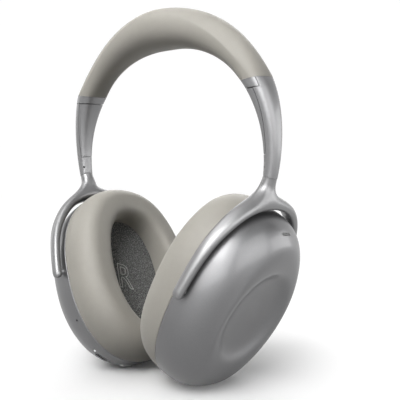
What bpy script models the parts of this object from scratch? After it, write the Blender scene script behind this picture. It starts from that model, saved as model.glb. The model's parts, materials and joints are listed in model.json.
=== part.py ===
"""Over-ear headphones: padded headband, sliding arms, turning forks and tilting ear cups.

The wearer faces -Y, the left cup is at +X, and the cups' lowest points are at z = 0. Sizes are in metres.
Every side piece is modelled for the left, in the frame of the body that it belongs to, and the right one is the
same form mirrored in X. In a cup's frame X points out of the cup, Y to the rear and Z up along its long axis.
"""
from math import acos, asin, atan2, copysign, cos, pi, radians, sin, tan

import bmesh
import bpy
import numpy as np
from mathutils import Matrix, Vector

OBJECT_NAME = "over_ear_headphones"

# Gaps between pieces that touch or run in each other
CLEARANCE = 0.0003

# Headband arch: the centreline is a superellipse, measured from its widest height
BAND_HALF_WIDTH = 0.067
BAND_RISE = 0.0626
BAND_FULLNESS = 2.1
PAD_END_RISE = 0.032
PAD_CROWN_WIDTH = 0.026
PAD_CROWN_THICKNESS = 0.0208
PAD_END_WIDTH = 0.0163
PAD_END_THICKNESS = 0.0119
PAD_WALL = 0.0022
PAD_END_ROLL = 0.0006
PAD_FULLNESS = 2.8
PAD_FLATTER_OUTSIDE = 0.8
PAD_RAKED_SHARE = 0.2
SPRING_WIDTH = 0.011
SPRING_THICKNESS = 0.001

# Arms: a metal strip on the outside, a cover on the inside, one bar at the foot
ARM_TOP_WIDTH = 0.0152
ARM_TOP_THICKNESS = 0.0112
ARM_FOOT_WIDTH = 0.0069
ARM_FOOT_THICKNESS = 0.0062
ARM_FULLNESS = 2.7
COLLAR_DROP = 0.0042
COVER_END_RISE = -0.0034
FOOT_RISE = -0.0137
SEAM_RAKE = 0.42
STRIP_TOP_THICKNESS = 0.0021
STRIP_FOOT_THICKNESS = 0.0047
TONGUE_WIDTH = 0.008
TONGUE_THICKNESS = 0.0016
TONGUE_LENGTH = 0.029
TONGUE_ROOT = 0.007
GUIDE_WALL = 0.0008
GUIDE_LENGTH = 0.012
POST_RADIUS = 0.0013
POST_IN_ARM = 0.007
POST_IN_YOKE = 0.008
ARM_SCREW_RADIUS = 0.0009
ARM_SCREW_LENGTH = 0.0014
ARM_SCREW_RISE = -0.0092
ARM_SCREW_TURN = radians(45.0)

# Forks: two round prongs that follow the cup, joined by an arch and a neck
YOKE_GAP = 0.0011
PRONG_TIP_THICKNESS = 0.0042
PRONG_TIP_WIDTH = 0.0054
ARCH_THICKNESS = 0.0058
ARCH_WIDTH = 0.0088
TIP_OVERRUN = 0.0027
NECK_LENGTH = 0.0098
NECK_BASE = 0.0125
SWIVEL_OUT = 0.004
PIN_RADIUS = 0.0014
PIN_LENGTH = 0.009
BUSH_RADIUS = 0.003
BUSH_LENGTH = 0.0028

# Ear cups: canted ovals that lean in at the foot
CUP_LENGTH = 0.0985
CUP_WIDTH = 0.077
CUP_OVAL = 2.25
CUP_CANT = radians(8.0)
CUP_LEAN = radians(26.5)
CUP_MID_GAP = 0.0020
PIVOT_ABOVE_CENTRE = 0.0105
PIVOT_FROM_RIM = 0.0043
DOME_DEPTH = 0.0292
DOME_FULLNESS = 2.75
SHELL_WALL = 0.0016
DISH_LENGTH = 0.0524
DISH_WIDTH = 0.0512
DISH_DEPTH = 0.0058
DISH_LIP = 0.0014

# Inside of a cup
BAFFLE_INSET = 0.0021
BAFFLE_PLATE = 0.0013
BAFFLE_WALL = 0.0014
DRIVER_RADIUS = 0.02
DRIVER_DEPTH = 0.0092
MAGNET_RADIUS = 0.0105
MAGNET_DEPTH = 0.0055
BOARD_WIDTH = 0.0416
BOARD_LENGTH = 0.0386
BOARD_THICKNESS = 0.0011
BOARD_SCREW_INSET = 0.0023
BOARD_SCREW_RADIUS = 0.0008
POST_WALL = 0.0011
BATTERY_WIDTH = 0.028
BATTERY_LENGTH = 0.0125
BATTERY_DEPTH = 0.006

# Ear cushions
CUSHION_RIM_INSET = 0.0004
CUSHION_DEPTH = 0.0162
CUSHION_DRAW = 0.0016
EAR_LENGTH = 0.060
EAR_WIDTH = 0.0395
EAR_BACK = 0.0018
EAR_RAISE = 0.0026
CUSHION_SWEEP = 0.0018
CUSHION_RING_DEPTH = 0.0008
LINER_DEPTH = 0.0008

# Small features in the shells: place round the oval, height above the rim, sizes
MIC_SLIT_ANGLE = radians(90.0)
MIC_SLIT_HEIGHT = 0.0182
MIC_SLIT_LENGTH = 0.0076
MIC_SLIT_WIDTH = 0.0013
CHARGE_ANGLE = radians(-120.0)
CHARGE_HEIGHT = 0.0090
CHARGE_LENGTH = 0.009
CHARGE_WIDTH = 0.0032
CHARGE_DEPTH = 0.0066
LIGHT_ANGLE = radians(-130.0)
LIGHT_HEIGHT = 0.0074
LIGHT_RADIUS = 0.0006
VOICE_MIC_ANGLE = radians(-156.0)
VOICE_MIC_HEIGHT = 0.0043
VOICE_MIC_HOLE = 0.0006
VOICE_MIC_RADIUS = 0.002
VOICE_MIC_DEPTH = 0.0012
BUTTON_HEIGHT = 0.0088
BUTTON_LENGTH = 0.008
BUTTON_WIDTH = 0.0028
BUTTON_FLANGE = 0.0007
BUTTON_PROUD = 0.0005
POWER_BUTTON_ANGLE = radians(-97.0)
MODE_BUTTON_ANGLE = radians(-58.0)

# Facets
BAND_STATIONS = 29
BAND_SIDES = 18
ARM_STATIONS = 7
CUP_SIDES = 36
CUSHION_SIDES = 14
ROUND_SIDES = 16

# Start from an empty scene, with one collection for the pieces and one for the cutters
for old in list(bpy.data.objects):
    bpy.data.objects.remove(old, do_unlink=True)
PIECES = bpy.data.collections.new(OBJECT_NAME)
CUTTERS = bpy.data.collections.new("cutters")
bpy.context.scene.collection.children.link(PIECES)
bpy.context.scene.collection.children.link(CUTTERS)


def material(name, colour, roughness, metallic=0.0):
    """A Principled material."""
    made = bpy.data.materials.new(name)
    made.use_nodes = True
    shader = made.node_tree.nodes["Principled BSDF"]
    shader.inputs["Base Color"].default_value = (*colour, 1.0)
    shader.inputs["Roughness"].default_value = roughness
    shader.inputs["Metallic"].default_value = metallic
    return made


SILVER = material("silver_metal", (0.42, 0.42, 0.41), 0.28, 1.0)
STEEL = material("spring_steel", (0.50, 0.50, 0.50), 0.35, 1.0)
LEATHERETTE = material("taupe_leatherette", (0.38, 0.36, 0.33), 0.55)
FABRIC = material("dark_fabric", (0.06, 0.06, 0.06), 0.9)
BLACK = material("black_plastic", (0.03, 0.03, 0.03), 0.5)
GREY = material("grey_plastic", (0.30, 0.30, 0.29), 0.5)
BOARD = material("green_board", (0.02, 0.12, 0.06), 0.5)
FOIL = material("battery_foil", (0.35, 0.36, 0.38), 0.4, 0.6)
LAMP = material("white_light", (0.9, 0.9, 0.88), 0.3)


# Mesh helpers

def loft(rings, closed=False, open_start=False, open_end=False):
    """A surface through rings of equally many points. One point is a pole, and closed joins last to first."""
    mesh = bmesh.new()
    verts = [[mesh.verts.new(p) for p in ring] for ring in rings]
    pairs = list(zip(verts, verts[1:]))
    if closed:
        pairs.append((verts[-1], verts[0]))
    for low, high in pairs:
        count = max(len(low), len(high))
        for i in range(count):
            j = (i + 1) % count
            if len(low) == 1:
                mesh.faces.new((low[0], high[i], high[j]))
            elif len(high) == 1:
                mesh.faces.new((low[i], high[0], low[j]))
            else:
                mesh.faces.new((low[i], high[i], high[j], low[j]))
    if not closed:
        if not open_start and len(verts[0]) > 1:
            mesh.faces.new(verts[0])
        if not open_end and len(verts[-1]) > 1:
            mesh.faces.new(verts[-1])
    bmesh.ops.recalc_face_normals(mesh, faces=mesh.faces)
    return mesh


def box(size, matrix):
    """A box of the given size, in the place of the matrix."""
    mesh = bmesh.new()
    bmesh.ops.create_cube(mesh, size=1.0, matrix=matrix @ Matrix.Diagonal((*size, 1.0)))
    return mesh


def rod(radius, start, end, sides=ROUND_SIDES, end_radius=None):
    """A round rod, or a cone, between two points."""
    start, end = Vector(start), Vector(end)
    along = end - start
    turn = along.to_track_quat("Z", "Y").to_matrix().to_4x4()
    mesh = bmesh.new()
    bmesh.ops.create_cone(
        mesh, cap_ends=True, segments=sides, radius1=radius,
        radius2=radius if end_radius is None else end_radius, depth=along.length,
        matrix=Matrix.Translation((start + end) / 2) @ turn)
    return mesh


def pill(length, width, depth, matrix, sides=6):
    """A bar with round ends, its length along X and its depth along Z, centred in the place of the matrix."""
    straight = (length - width) / 2
    outline = []
    for end in (0, 1):
        for i in range(sides + 1):
            angle = pi * (end - 0.5 + i / sides)
            outline.append(((1 - 2 * end) * straight + width / 2 * cos(angle), width / 2 * sin(angle)))
    rings = []
    for z in (-depth / 2, depth / 2):
        rings.append([matrix @ Vector((x, y, z)) for x, y in outline])
    return loft(rings)


class Body:
    """A frame that pieces hang on: an empty that the body's forms are measured from, and its side."""

    def __init__(self, name, side, parent=None, place=None):
        self.side = side
        self.frame = bpy.data.objects.new(name, None)
        self.frame.empty_display_size = 0.01
        PIECES.objects.link(self.frame)
        self.place = place or Matrix.Identity(4)
        if parent:
            self.frame.parent = parent.frame
            self.frame.matrix_local = parent.place.inverted() @ self.place

    def hold(self, name, mesh, collection):
        """An object in this frame, mirrored in X on the right side."""
        if self.side < 0:
            for vert in mesh.verts:
                vert.co.x = -vert.co.x
            bmesh.ops.reverse_faces(mesh, faces=mesh.faces)
        data = bpy.data.meshes.new(name)
        mesh.to_mesh(data)
        mesh.free()
        data.shade_smooth()
        data.set_sharp_from_angle(angle=radians(35))
        made = bpy.data.objects.new(name, data)
        collection.objects.link(made)
        made.parent = self.frame
        return made

    def piece(self, name, mesh, look):
        """A sub-part of this body."""
        made = self.hold(name, mesh, PIECES)
        made.data.materials.append(look)
        return made

    def cut(self, target, mesh, operation="DIFFERENCE"):
        """Cuts a form out of a piece, or joins it on."""
        tool = self.hold(f"{target.name}_tool_{len(target.modifiers)}", mesh, CUTTERS)
        tool.hide_render = True
        tool.display_type = "WIRE"
        change = target.modifiers.new("cut", "BOOLEAN")
        change.operation = operation
        change.object = tool
        change.solver = "EXACT"


# Curves that the pieces follow

def power(value, exponent):
    """A power that keeps the sign."""
    return copysign(abs(value) ** exponent, value)


def superellipse(half_x, half_y, fullness, angle):
    """A point of a superellipse."""
    return half_x * power(cos(angle), 2 / fullness), half_y * power(sin(angle), 2 / fullness)


def arch_angle(rise):
    """The arch's angle at a height over its widest place."""
    return copysign(asin(abs(rise / BAND_RISE) ** (BAND_FULLNESS / 2)), rise)


def arch_frame(angle):
    """The arch's point and its outward normal, in X and Z, at an angle."""
    point = np.array(superellipse(BAND_HALF_WIDTH, BAND_RISE, BAND_FULLNESS, angle))
    slope = 2 - 2 / BAND_FULLNESS
    normal = np.array((power(cos(angle), slope) / BAND_HALF_WIDTH, power(sin(angle), slope) / BAND_RISE))
    return point, normal / np.linalg.norm(normal)


def arch_ring(angle, outline, base_z, rake=0.0):
    """An outline of offsets out of the arch and places along Y, set square to the arch or raked along it."""
    point, normal = arch_frame(angle)
    way = (normal[0] + normal[1] * rake, normal[1] - normal[0] * rake)
    return [(point[0] + way[0] * out, y, base_z + point[1] + way[1] * out) for out, y in outline]


def cup_oval(length, width, angle):
    """A point of an oval in the cup's plane, canted so that its top leans to the rear."""
    across, along = superellipse(width / 2, length / 2, CUP_OVAL, angle)
    return (across * cos(CUP_CANT) + along * sin(CUP_CANT), along * cos(CUP_CANT) - across * sin(CUP_CANT))


def cup_ring(height, length, width, count=CUP_SIDES, back=0.0, raised=0.0):
    """A canted oval at a height over the rim, in the cup's frame, whose origin is on the pivot axis."""
    ring = []
    for i in range(count):
        y, z = cup_oval(length, width, 2 * pi * i / count)
        ring.append((height - PIVOT_FROM_RIM, y + back, z + raised - PIVOT_ABOVE_CENTRE))
    return ring


def dome_share(height):
    """How much of the rim's size the dome keeps at a height."""
    return (1 - (height / DOME_DEPTH) ** DOME_FULLNESS) ** (1 / DOME_FULLNESS)


def wall_frame(angle, height):
    """A place on the dome: X along its ring, Z out of the wall."""
    def place(turn, rise):
        share = dome_share(rise)
        y, z = cup_oval(CUP_LENGTH * share, CUP_WIDTH * share, turn)
        return Vector((rise - PIVOT_FROM_RIM, y, z - PIVOT_ABOVE_CENTRE))
    step = 0.0001
    point = place(angle, height)
    along = (place(angle + step / CUP_WIDTH, height) - point).normalized()
    up = (place(angle, height + step) - point).normalized()
    out = along.cross(up).normalized()
    if out.dot(point) < 0:
        out = -out
    side = out.cross(along)
    turn = Matrix((along, side, out)).transposed().to_4x4()
    return Matrix.Translation(point) @ turn


# Profile of the shell, as heights over the rim and sizes of the oval there
LIP_SHARE = (DISH_WIDTH / 2 + DISH_LIP) / (CUP_WIDTH / 2)
LIP_HEIGHT = DOME_DEPTH * (1 - LIP_SHARE ** DOME_FULLNESS) ** (1 / DOME_FULLNESS)
DISH_FLOOR = LIP_HEIGHT - DISH_DEPTH


def shell_profile():
    """Rim, wall, shoulder, lip and dish of the shell, from the rim to the dish's middle."""
    profile = [(0.0, CUP_LENGTH - DISH_LIP / 2, CUP_WIDTH - DISH_LIP / 2)]
    for share in (0.03, 0.25, 0.47, 0.65, 0.80, 0.92):
        size = dome_share(LIP_HEIGHT * share)
        profile.append((LIP_HEIGHT * share, CUP_LENGTH * size, CUP_WIDTH * size))
    shoulder_length = DISH_LENGTH + 2.6 * DISH_LIP
    profile.append((LIP_HEIGHT - 0.1 * DISH_LIP, shoulder_length, DISH_WIDTH + 1.6 * DISH_LIP))
    for share in (0.98, 0.84, 0.62, 0.34):
        depth = DISH_DEPTH * (1 - share ** 3.2)
        profile.append((LIP_HEIGHT - depth - 0.1 * DISH_LIP, DISH_LENGTH * share, DISH_WIDTH * share))
    return profile


# Stack under the rim, as heights. The baffle's skirt ends under the pivots' bushes.
BAFFLE_SKIRT = PIVOT_FROM_RIM - BUSH_RADIUS - CLEARANCE
BAFFLE_TOP = -CLEARANCE
BAFFLE_FOOT = BAFFLE_TOP - BAFFLE_PLATE + CLEARANCE
RING_TOP = BAFFLE_FOOT - CLEARANCE
RING_FOOT = RING_TOP - CUSHION_RING_DEPTH
CUSHION_TOP = RING_FOOT - CLEARANCE


FLANGE = (CUP_LENGTH - 2 * BAFFLE_INSET, CUP_WIDTH - 2 * BAFFLE_INSET)


def cushion_rings(count=CUP_SIDES):
    """Ovals round the cushion's section: a skirt over the baffle's edge, a full side, a crown, a steep wall."""
    inset = DISH_LIP / 2 + 2 * CUSHION_RIM_INSET
    outer = (CUP_LENGTH - inset, CUP_WIDTH - inset)
    rings = [cup_ring(-CLEARANCE, *outer, count)]
    for i in range(CUSHION_SIDES):
        angle = pi * i / (CUSHION_SIDES - 1)
        inward = 0.5 - 0.5 * power(cos(angle), 0.8)
        depth = sin(angle) ** 0.8 if 0 < i < CUSHION_SIDES - 1 else 0.0
        drawn = CUSHION_DRAW * depth * (1 - inward)
        length = outer[0] + (EAR_LENGTH - outer[0]) * inward - 2 * drawn
        width = outer[1] + (EAR_WIDTH - outer[1]) * inward - 2 * drawn
        raised = EAR_RAISE * inward + CUSHION_SWEEP * depth
        height = CUSHION_TOP - CUSHION_DEPTH * depth
        rings.append(cup_ring(height, length, width, count, EAR_BACK * inward, raised))
    inner = [size + 2 * CLEARANCE for size in FLANGE]
    rings.append(cup_ring(CUSHION_TOP, *inner, count))
    rings.append(cup_ring(-CLEARANCE, *inner, count))
    return rings


# Places of the bodies. The cup hangs so that its shell meets the floor and its cushion clears the middle.
LEAN = Matrix.Rotation(CUP_LEAN, 4, "Y")
SHELL_POINTS = np.array([p for h, a, b in shell_profile() for p in cup_ring(h, a, b)])
CUSHION_POINTS = np.array([p for ring in cushion_rings() for p in ring])
LEAN_ROWS = np.array(LEAN.to_3x3())
PIVOT = Vector((CUP_MID_GAP / 2 - (CUSHION_POINTS @ LEAN_ROWS.T)[:, 0].min(), 0.0,
                -(SHELL_POINTS @ LEAN_ROWS.T)[:, 2].min()))


def prong_share(angle):
    """0 at the prongs' tips and 1 at the top of the arch."""
    return max(0.0, sin(angle)) ** 2


def yoke_section(angle):
    """The fork's half thickness and half width at an angle round the cup."""
    share = prong_share(angle)
    thickness = PRONG_TIP_THICKNESS + (ARCH_THICKNESS - PRONG_TIP_THICKNESS) * share
    width = PRONG_TIP_WIDTH + (ARCH_WIDTH - PRONG_TIP_WIDTH) * share
    return thickness / 2, width / 2


def yoke_centre(angle):
    """The fork's middle line round the cup, in Y and Z of the cup's frame."""
    out = YOKE_GAP + yoke_section(angle)[0]
    y, z = cup_oval(CUP_LENGTH + 2 * out, CUP_WIDTH + 2 * out, angle)
    return np.array((y, z - PIVOT_ABOVE_CENTRE))


def angle_where(test, start, end):
    """The angle between two others where a test of the fork's middle line changes sign."""
    for _ in range(60):
        middle = (start + end) / 2
        if (test(yoke_centre(middle)) > 0) == (test(yoke_centre(start)) > 0):
            start = middle
        else:
            end = middle
    return middle


FRONT_PIVOT = angle_where(lambda p: p[1], pi * 0.6, pi * 1.3)
REAR_PIVOT = angle_where(lambda p: p[1], pi * 0.4, -pi * 0.3)
ARCH_ANGLE = angle_where(lambda p: p[0], pi * 0.3, pi * 0.7)
ARCH_TOP = Vector((0.0, 0.0, yoke_centre(ARCH_ANGLE)[1] + ARCH_THICKNESS / 2))

# The arm's foot stands over the arch, and the headband's height follows from it. The swivel's axis passes
# a little outside of the cup's pivots, so that a turning cup keeps clear of the other one.
FOOT_POINT, FOOT_NORMAL = arch_frame(arch_angle(FOOT_RISE))
FOOT = Vector((FOOT_POINT[0], 0.0, (PIVOT + LEAN @ ARCH_TOP).z + NECK_LENGTH))
BAND_BASE = FOOT.z - FOOT_RISE
SWIVEL_POINT = PIVOT + Vector((SWIVEL_OUT, 0.0, 0.0))
SWIVEL_AXIS = (FOOT - SWIVEL_POINT).normalized()

# The arm slides along the arch's tangent at the pad's end
PAD_END = arch_angle(PAD_END_RISE)
END_POINT, END_NORMAL = arch_frame(PAD_END)
SLIDE_UP = Vector((-END_NORMAL[1], 0.0, END_NORMAL[0]))
SEAM_RISE = PAD_END_RISE - COLLAR_DROP
SEAM_POINT, SEAM_NORMAL = arch_frame(arch_angle(SEAM_RISE))
SEAM = Vector((SEAM_POINT[0], 0.0, BAND_BASE + SEAM_POINT[1]))
SLIDE_TURN = Matrix.Rotation(atan2(SLIDE_UP.x, SLIDE_UP.z), 4, "Y")


# Headband

def pad_size(angle):
    """The pad's half thickness and half width, round at the crown and slimmer to its ends."""
    share = min(1.0, abs(pi / 2 - angle) / (pi / 2 - PAD_END))
    thickness = PAD_END_THICKNESS + (PAD_CROWN_THICKNESS - PAD_END_THICKNESS) * (1 - share ** 1.3)
    taper = (1 - share) ** 2 * (1 + 2 * share * (1 - share) ** 3)
    width = PAD_END_WIDTH + (PAD_CROWN_WIDTH - PAD_END_WIDTH) * taper
    return thickness / 2, width / 2


def band_angles(count, past=0.0):
    """Angles along the arch from the left end over the crown to the right end."""
    return np.linspace(PAD_END - past, pi - PAD_END + past, count)


CHANNEL_HALF_WIDTH = SPRING_WIDTH / 2 + CLEARANCE
RAKED_PAST = SEAM_RAKE * PAD_END_THICKNESS / BAND_HALF_WIDTH


def pad_outline(half_thick, half_wide):
    """The pad's section: flatter on the outside of the arch, and rounder towards the head."""
    outline = []
    for turn in np.arange(BAND_SIDES) * 2 * pi / BAND_SIDES:
        fullness = PAD_FULLNESS + PAD_FLATTER_OUTSIDE * cos(turn)
        outline.append(superellipse(half_thick, half_wide, fullness, turn))
    return outline


def pad_rake(angle):
    """The pad's ends are cut at the rake of the collars' seams, and that rake fades out along the pad."""
    left = max(0.0, 1 - (angle - PAD_END) / (PAD_RAKED_SHARE * (pi / 2 - PAD_END)))
    right = max(0.0, 1 - (pi - PAD_END - angle) / (PAD_RAKED_SHARE * (pi / 2 - PAD_END)))
    return SEAM_RAKE * (left ** 2 - right ** 2)


def headband(body):
    """The pad is a soft tube with a flat channel through it for the spring and the tongues."""
    rings = []
    for i, angle in enumerate(band_angles(BAND_STATIONS)):
        half_thick, half_wide = pad_size(angle)
        if i in (0, BAND_STATIONS - 1):
            half_thick -= PAD_END_ROLL
            half_wide -= PAD_END_ROLL
        rings.append(arch_ring(angle, pad_outline(half_thick, half_wide), BAND_BASE, pad_rake(angle)))
    pad = body.piece("headband_pad", loft(rings), LEATHERETTE)
    channel, spring = [], []
    for angle in band_angles(BAND_STATIONS - 2, past=RAKED_PAST):
        half = pad_size(angle)[0] - PAD_WALL
        side = CHANNEL_HALF_WIDTH
        corners = [(half, side), (half, -side), (-half, -side), (-half, side)]
        channel.append(arch_ring(angle, corners, BAND_BASE))
    body.cut(pad, loft(channel))
    for angle in band_angles(BAND_STATIONS - 2, past=-RAKED_PAST):
        floor = -(pad_size(angle)[0] - PAD_WALL) + CLEARANCE * 1.5
        top = floor + SPRING_THICKNESS
        side = SPRING_WIDTH / 2
        spring.append(arch_ring(angle, [(top, side), (top, -side), (floor, -side), (floor, side)], BAND_BASE))
    body.piece("headband_spring", loft(spring), STEEL)


# Arms

def arm_size(rise):
    """The arm's half thickness and half width at a height over the arch's widest place."""
    down = (SEAM_RISE - rise) / (SEAM_RISE - FOOT_RISE)
    thin = down
    narrow = 1 - (1 - down) ** 1.7
    thickness = ARM_TOP_THICKNESS + (ARM_FOOT_THICKNESS - ARM_TOP_THICKNESS) * thin
    width = ARM_TOP_WIDTH + (ARM_FOOT_WIDTH - ARM_TOP_WIDTH) * narrow
    return thickness / 2, width / 2


def arm_ring(rise, outer=None, gap=0.0):
    """The arm's section at a height: all of it, its outer strip or what is left inside of the strip."""
    half_thick, half_wide = arm_size(rise)
    height = min(1.0, max(0.0, (rise - COVER_END_RISE) / (SEAM_RISE - COVER_END_RISE)))
    strip = STRIP_FOOT_THICKNESS + (STRIP_TOP_THICKNESS - STRIP_FOOT_THICKNESS) * height
    level = half_thick - strip - gap
    turn = acos(power(level / half_thick, ARM_FULLNESS / 2))
    if outer is None:
        angles = np.arange(BAND_SIDES) * 2 * pi / BAND_SIDES
    elif outer:
        angles = np.linspace(-turn, turn, BAND_SIDES // 2)
    else:
        angles = np.linspace(turn, 2 * pi - turn, BAND_SIDES)
    outline = [superellipse(half_thick, half_wide, ARM_FULLNESS, a) for a in angles]
    return arch_ring(arch_angle(rise), outline, BAND_BASE, SEAM_RAKE * height ** 2)


def in_frame(rings, origin):
    """Rings moved from world places into a frame at a point."""
    return [[Vector(p) - origin for p in ring] for ring in rings]


def collar_and_guide(body, side_name):
    """A short metal collar round the band's end, open to the arm's strip, with the slider's guide."""
    rises = np.linspace(SEAM_RISE + CLEARANCE, PAD_END_RISE - CLEARANCE, 3)
    collar = body.piece(f"{side_name}_collar", loft([arm_ring(r, False, CLEARANCE) for r in rises]), SILVER)
    inner = (TONGUE_THICKNESS / 2 + CLEARANCE, TONGUE_WIDTH / 2 + CLEARANCE)
    outer = (inner[0] + GUIDE_WALL, inner[1] + GUIDE_WALL)
    low = 2 * CLEARANCE + SEAM_RAKE * outer[0]
    high = low + GUIDE_LENGTH
    rings = []
    for (x, y), z in ((outer, low), (outer, high), (inner, high), (inner, low)):
        corners = [(x, y, z), (x, -y, z), (-x, -y, z), (-x, y, z)]
        rings.append([SEAM + SLIDE_TURN @ Vector(c) for c in corners])
    body.piece(f"{side_name}_slider_guide", loft(rings, closed=True), BLACK)
    window = (2 * (outer[0] + CLEARANCE), 2 * (outer[1] + CLEARANCE), 4 * COLLAR_DROP)
    body.cut(collar, box(window, Matrix.Translation(SEAM) @ SLIDE_TURN))


def arm(body, side_name):
    """The arm: a bar at the foot that runs up into a strip, the cover inside of it and the slider's tongue."""
    foot_rises = np.linspace(FOOT_RISE, COVER_END_RISE, 4)[1:]
    foot = [arm_ring(r) for r in foot_rises]
    across = SWIVEL_AXIS.cross(Vector((0, 1, 0))) * -1
    end = FOOT + SWIVEL_AXIS * CLEARANCE / 2
    half_thick, half_wide = arm_size(FOOT_RISE)
    turn = np.arange(BAND_SIDES) * 2 * pi / BAND_SIDES
    outline = [superellipse(half_thick, half_wide, ARM_FULLNESS, t) for t in turn]
    foot.insert(0, [end + across * out + Vector((0, y, 0)) for out, y in outline])
    rail = body.piece(f"{side_name}_arm_rail", loft(in_frame(foot, SEAM)), SILVER)
    overlap = 0.3 * (COVER_END_RISE - FOOT_RISE)
    strip_rises = np.linspace(COVER_END_RISE - overlap, PAD_END_RISE - CLEARANCE, ARM_STATIONS)
    body.cut(rail, loft(in_frame([arm_ring(r, True) for r in strip_rises], SEAM)), "UNION")
    bore_end = FOOT + SWIVEL_AXIS * (POST_IN_ARM + CLEARANCE) - SEAM
    body.cut(rail, rod(POST_RADIUS + CLEARANCE, FOOT - SWIVEL_AXIS * POST_IN_ARM - SEAM, bore_end))
    cover_rises = np.linspace(COVER_END_RISE + CLEARANCE, SEAM_RISE - CLEARANCE / 2, ARM_STATIONS)
    cover = body.piece(f"{side_name}_arm_cover",
                       loft(in_frame([arm_ring(r, False, CLEARANCE) for r in cover_rises], SEAM)), SILVER)
    size = (TONGUE_THICKNESS, TONGUE_WIDTH, TONGUE_LENGTH + TONGUE_ROOT)
    middle = SLIDE_TURN @ Matrix.Translation((0, 0, (TONGUE_LENGTH - TONGUE_ROOT) / 2))
    body.piece(f"{side_name}_slider_tongue", box(size, middle), STEEL)
    body.cut(cover, box([s + 2 * CLEARANCE for s in size], middle))
    post_top = FOOT + SWIVEL_AXIS * POST_IN_ARM - SEAM
    post_foot = FOOT - SWIVEL_AXIS * POST_IN_YOKE - SEAM
    body.piece(f"{side_name}_swivel_post", rod(POST_RADIUS, post_foot, post_top), STEEL)
    arm_screw(body, side_name, rail)


def arm_screw(body, side_name, rail):
    """A grub screw in the front inner corner of the arm's foot that bears on the post, in a hole of its own."""
    point, normal = arch_frame(arch_angle(ARM_SCREW_RISE))
    out = Vector((-normal[0] * cos(ARM_SCREW_TURN), -sin(ARM_SCREW_TURN), -normal[1] * cos(ARM_SCREW_TURN)))
    middle = Vector((point[0], 0, BAND_BASE + point[1]))
    on_axis = FOOT + SWIVEL_AXIS * (middle - FOOT).dot(SWIVEL_AXIS) - SEAM
    half_thick, half_wide = arm_size(ARM_SCREW_RISE)
    reach = (cos(ARM_SCREW_TURN) / half_thick) ** ARM_FULLNESS
    reach += (sin(ARM_SCREW_TURN) / half_wide) ** ARM_FULLNESS
    face = on_axis + out * reach ** (-1 / ARM_FULLNESS)
    body.cut(rail, rod(ARM_SCREW_RADIUS + CLEARANCE, on_axis, face + out * ARM_SCREW_LENGTH, sides=12))
    tip = on_axis + out * (POST_RADIUS + CLEARANCE)
    body.piece(f"{side_name}_arm_screw", rod(ARM_SCREW_RADIUS, tip, face - out * CLEARANCE, sides=12), STEEL)


# Forks

def through(points):
    """Control points whose smoothed curve runs through the points. A smoothed end falls short by a sixth."""
    count = len(points)
    weights = np.eye(count) * 4 / 6
    for i in range(1, count - 1):
        weights[i, i - 1] = weights[i, i + 1] = 1 / 6
    weights[0, 0] = weights[-1, -1] = 5 / 6
    weights[0, 1] = weights[-1, -2] = 1 / 6
    return np.linalg.solve(weights, np.array(points))


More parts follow.
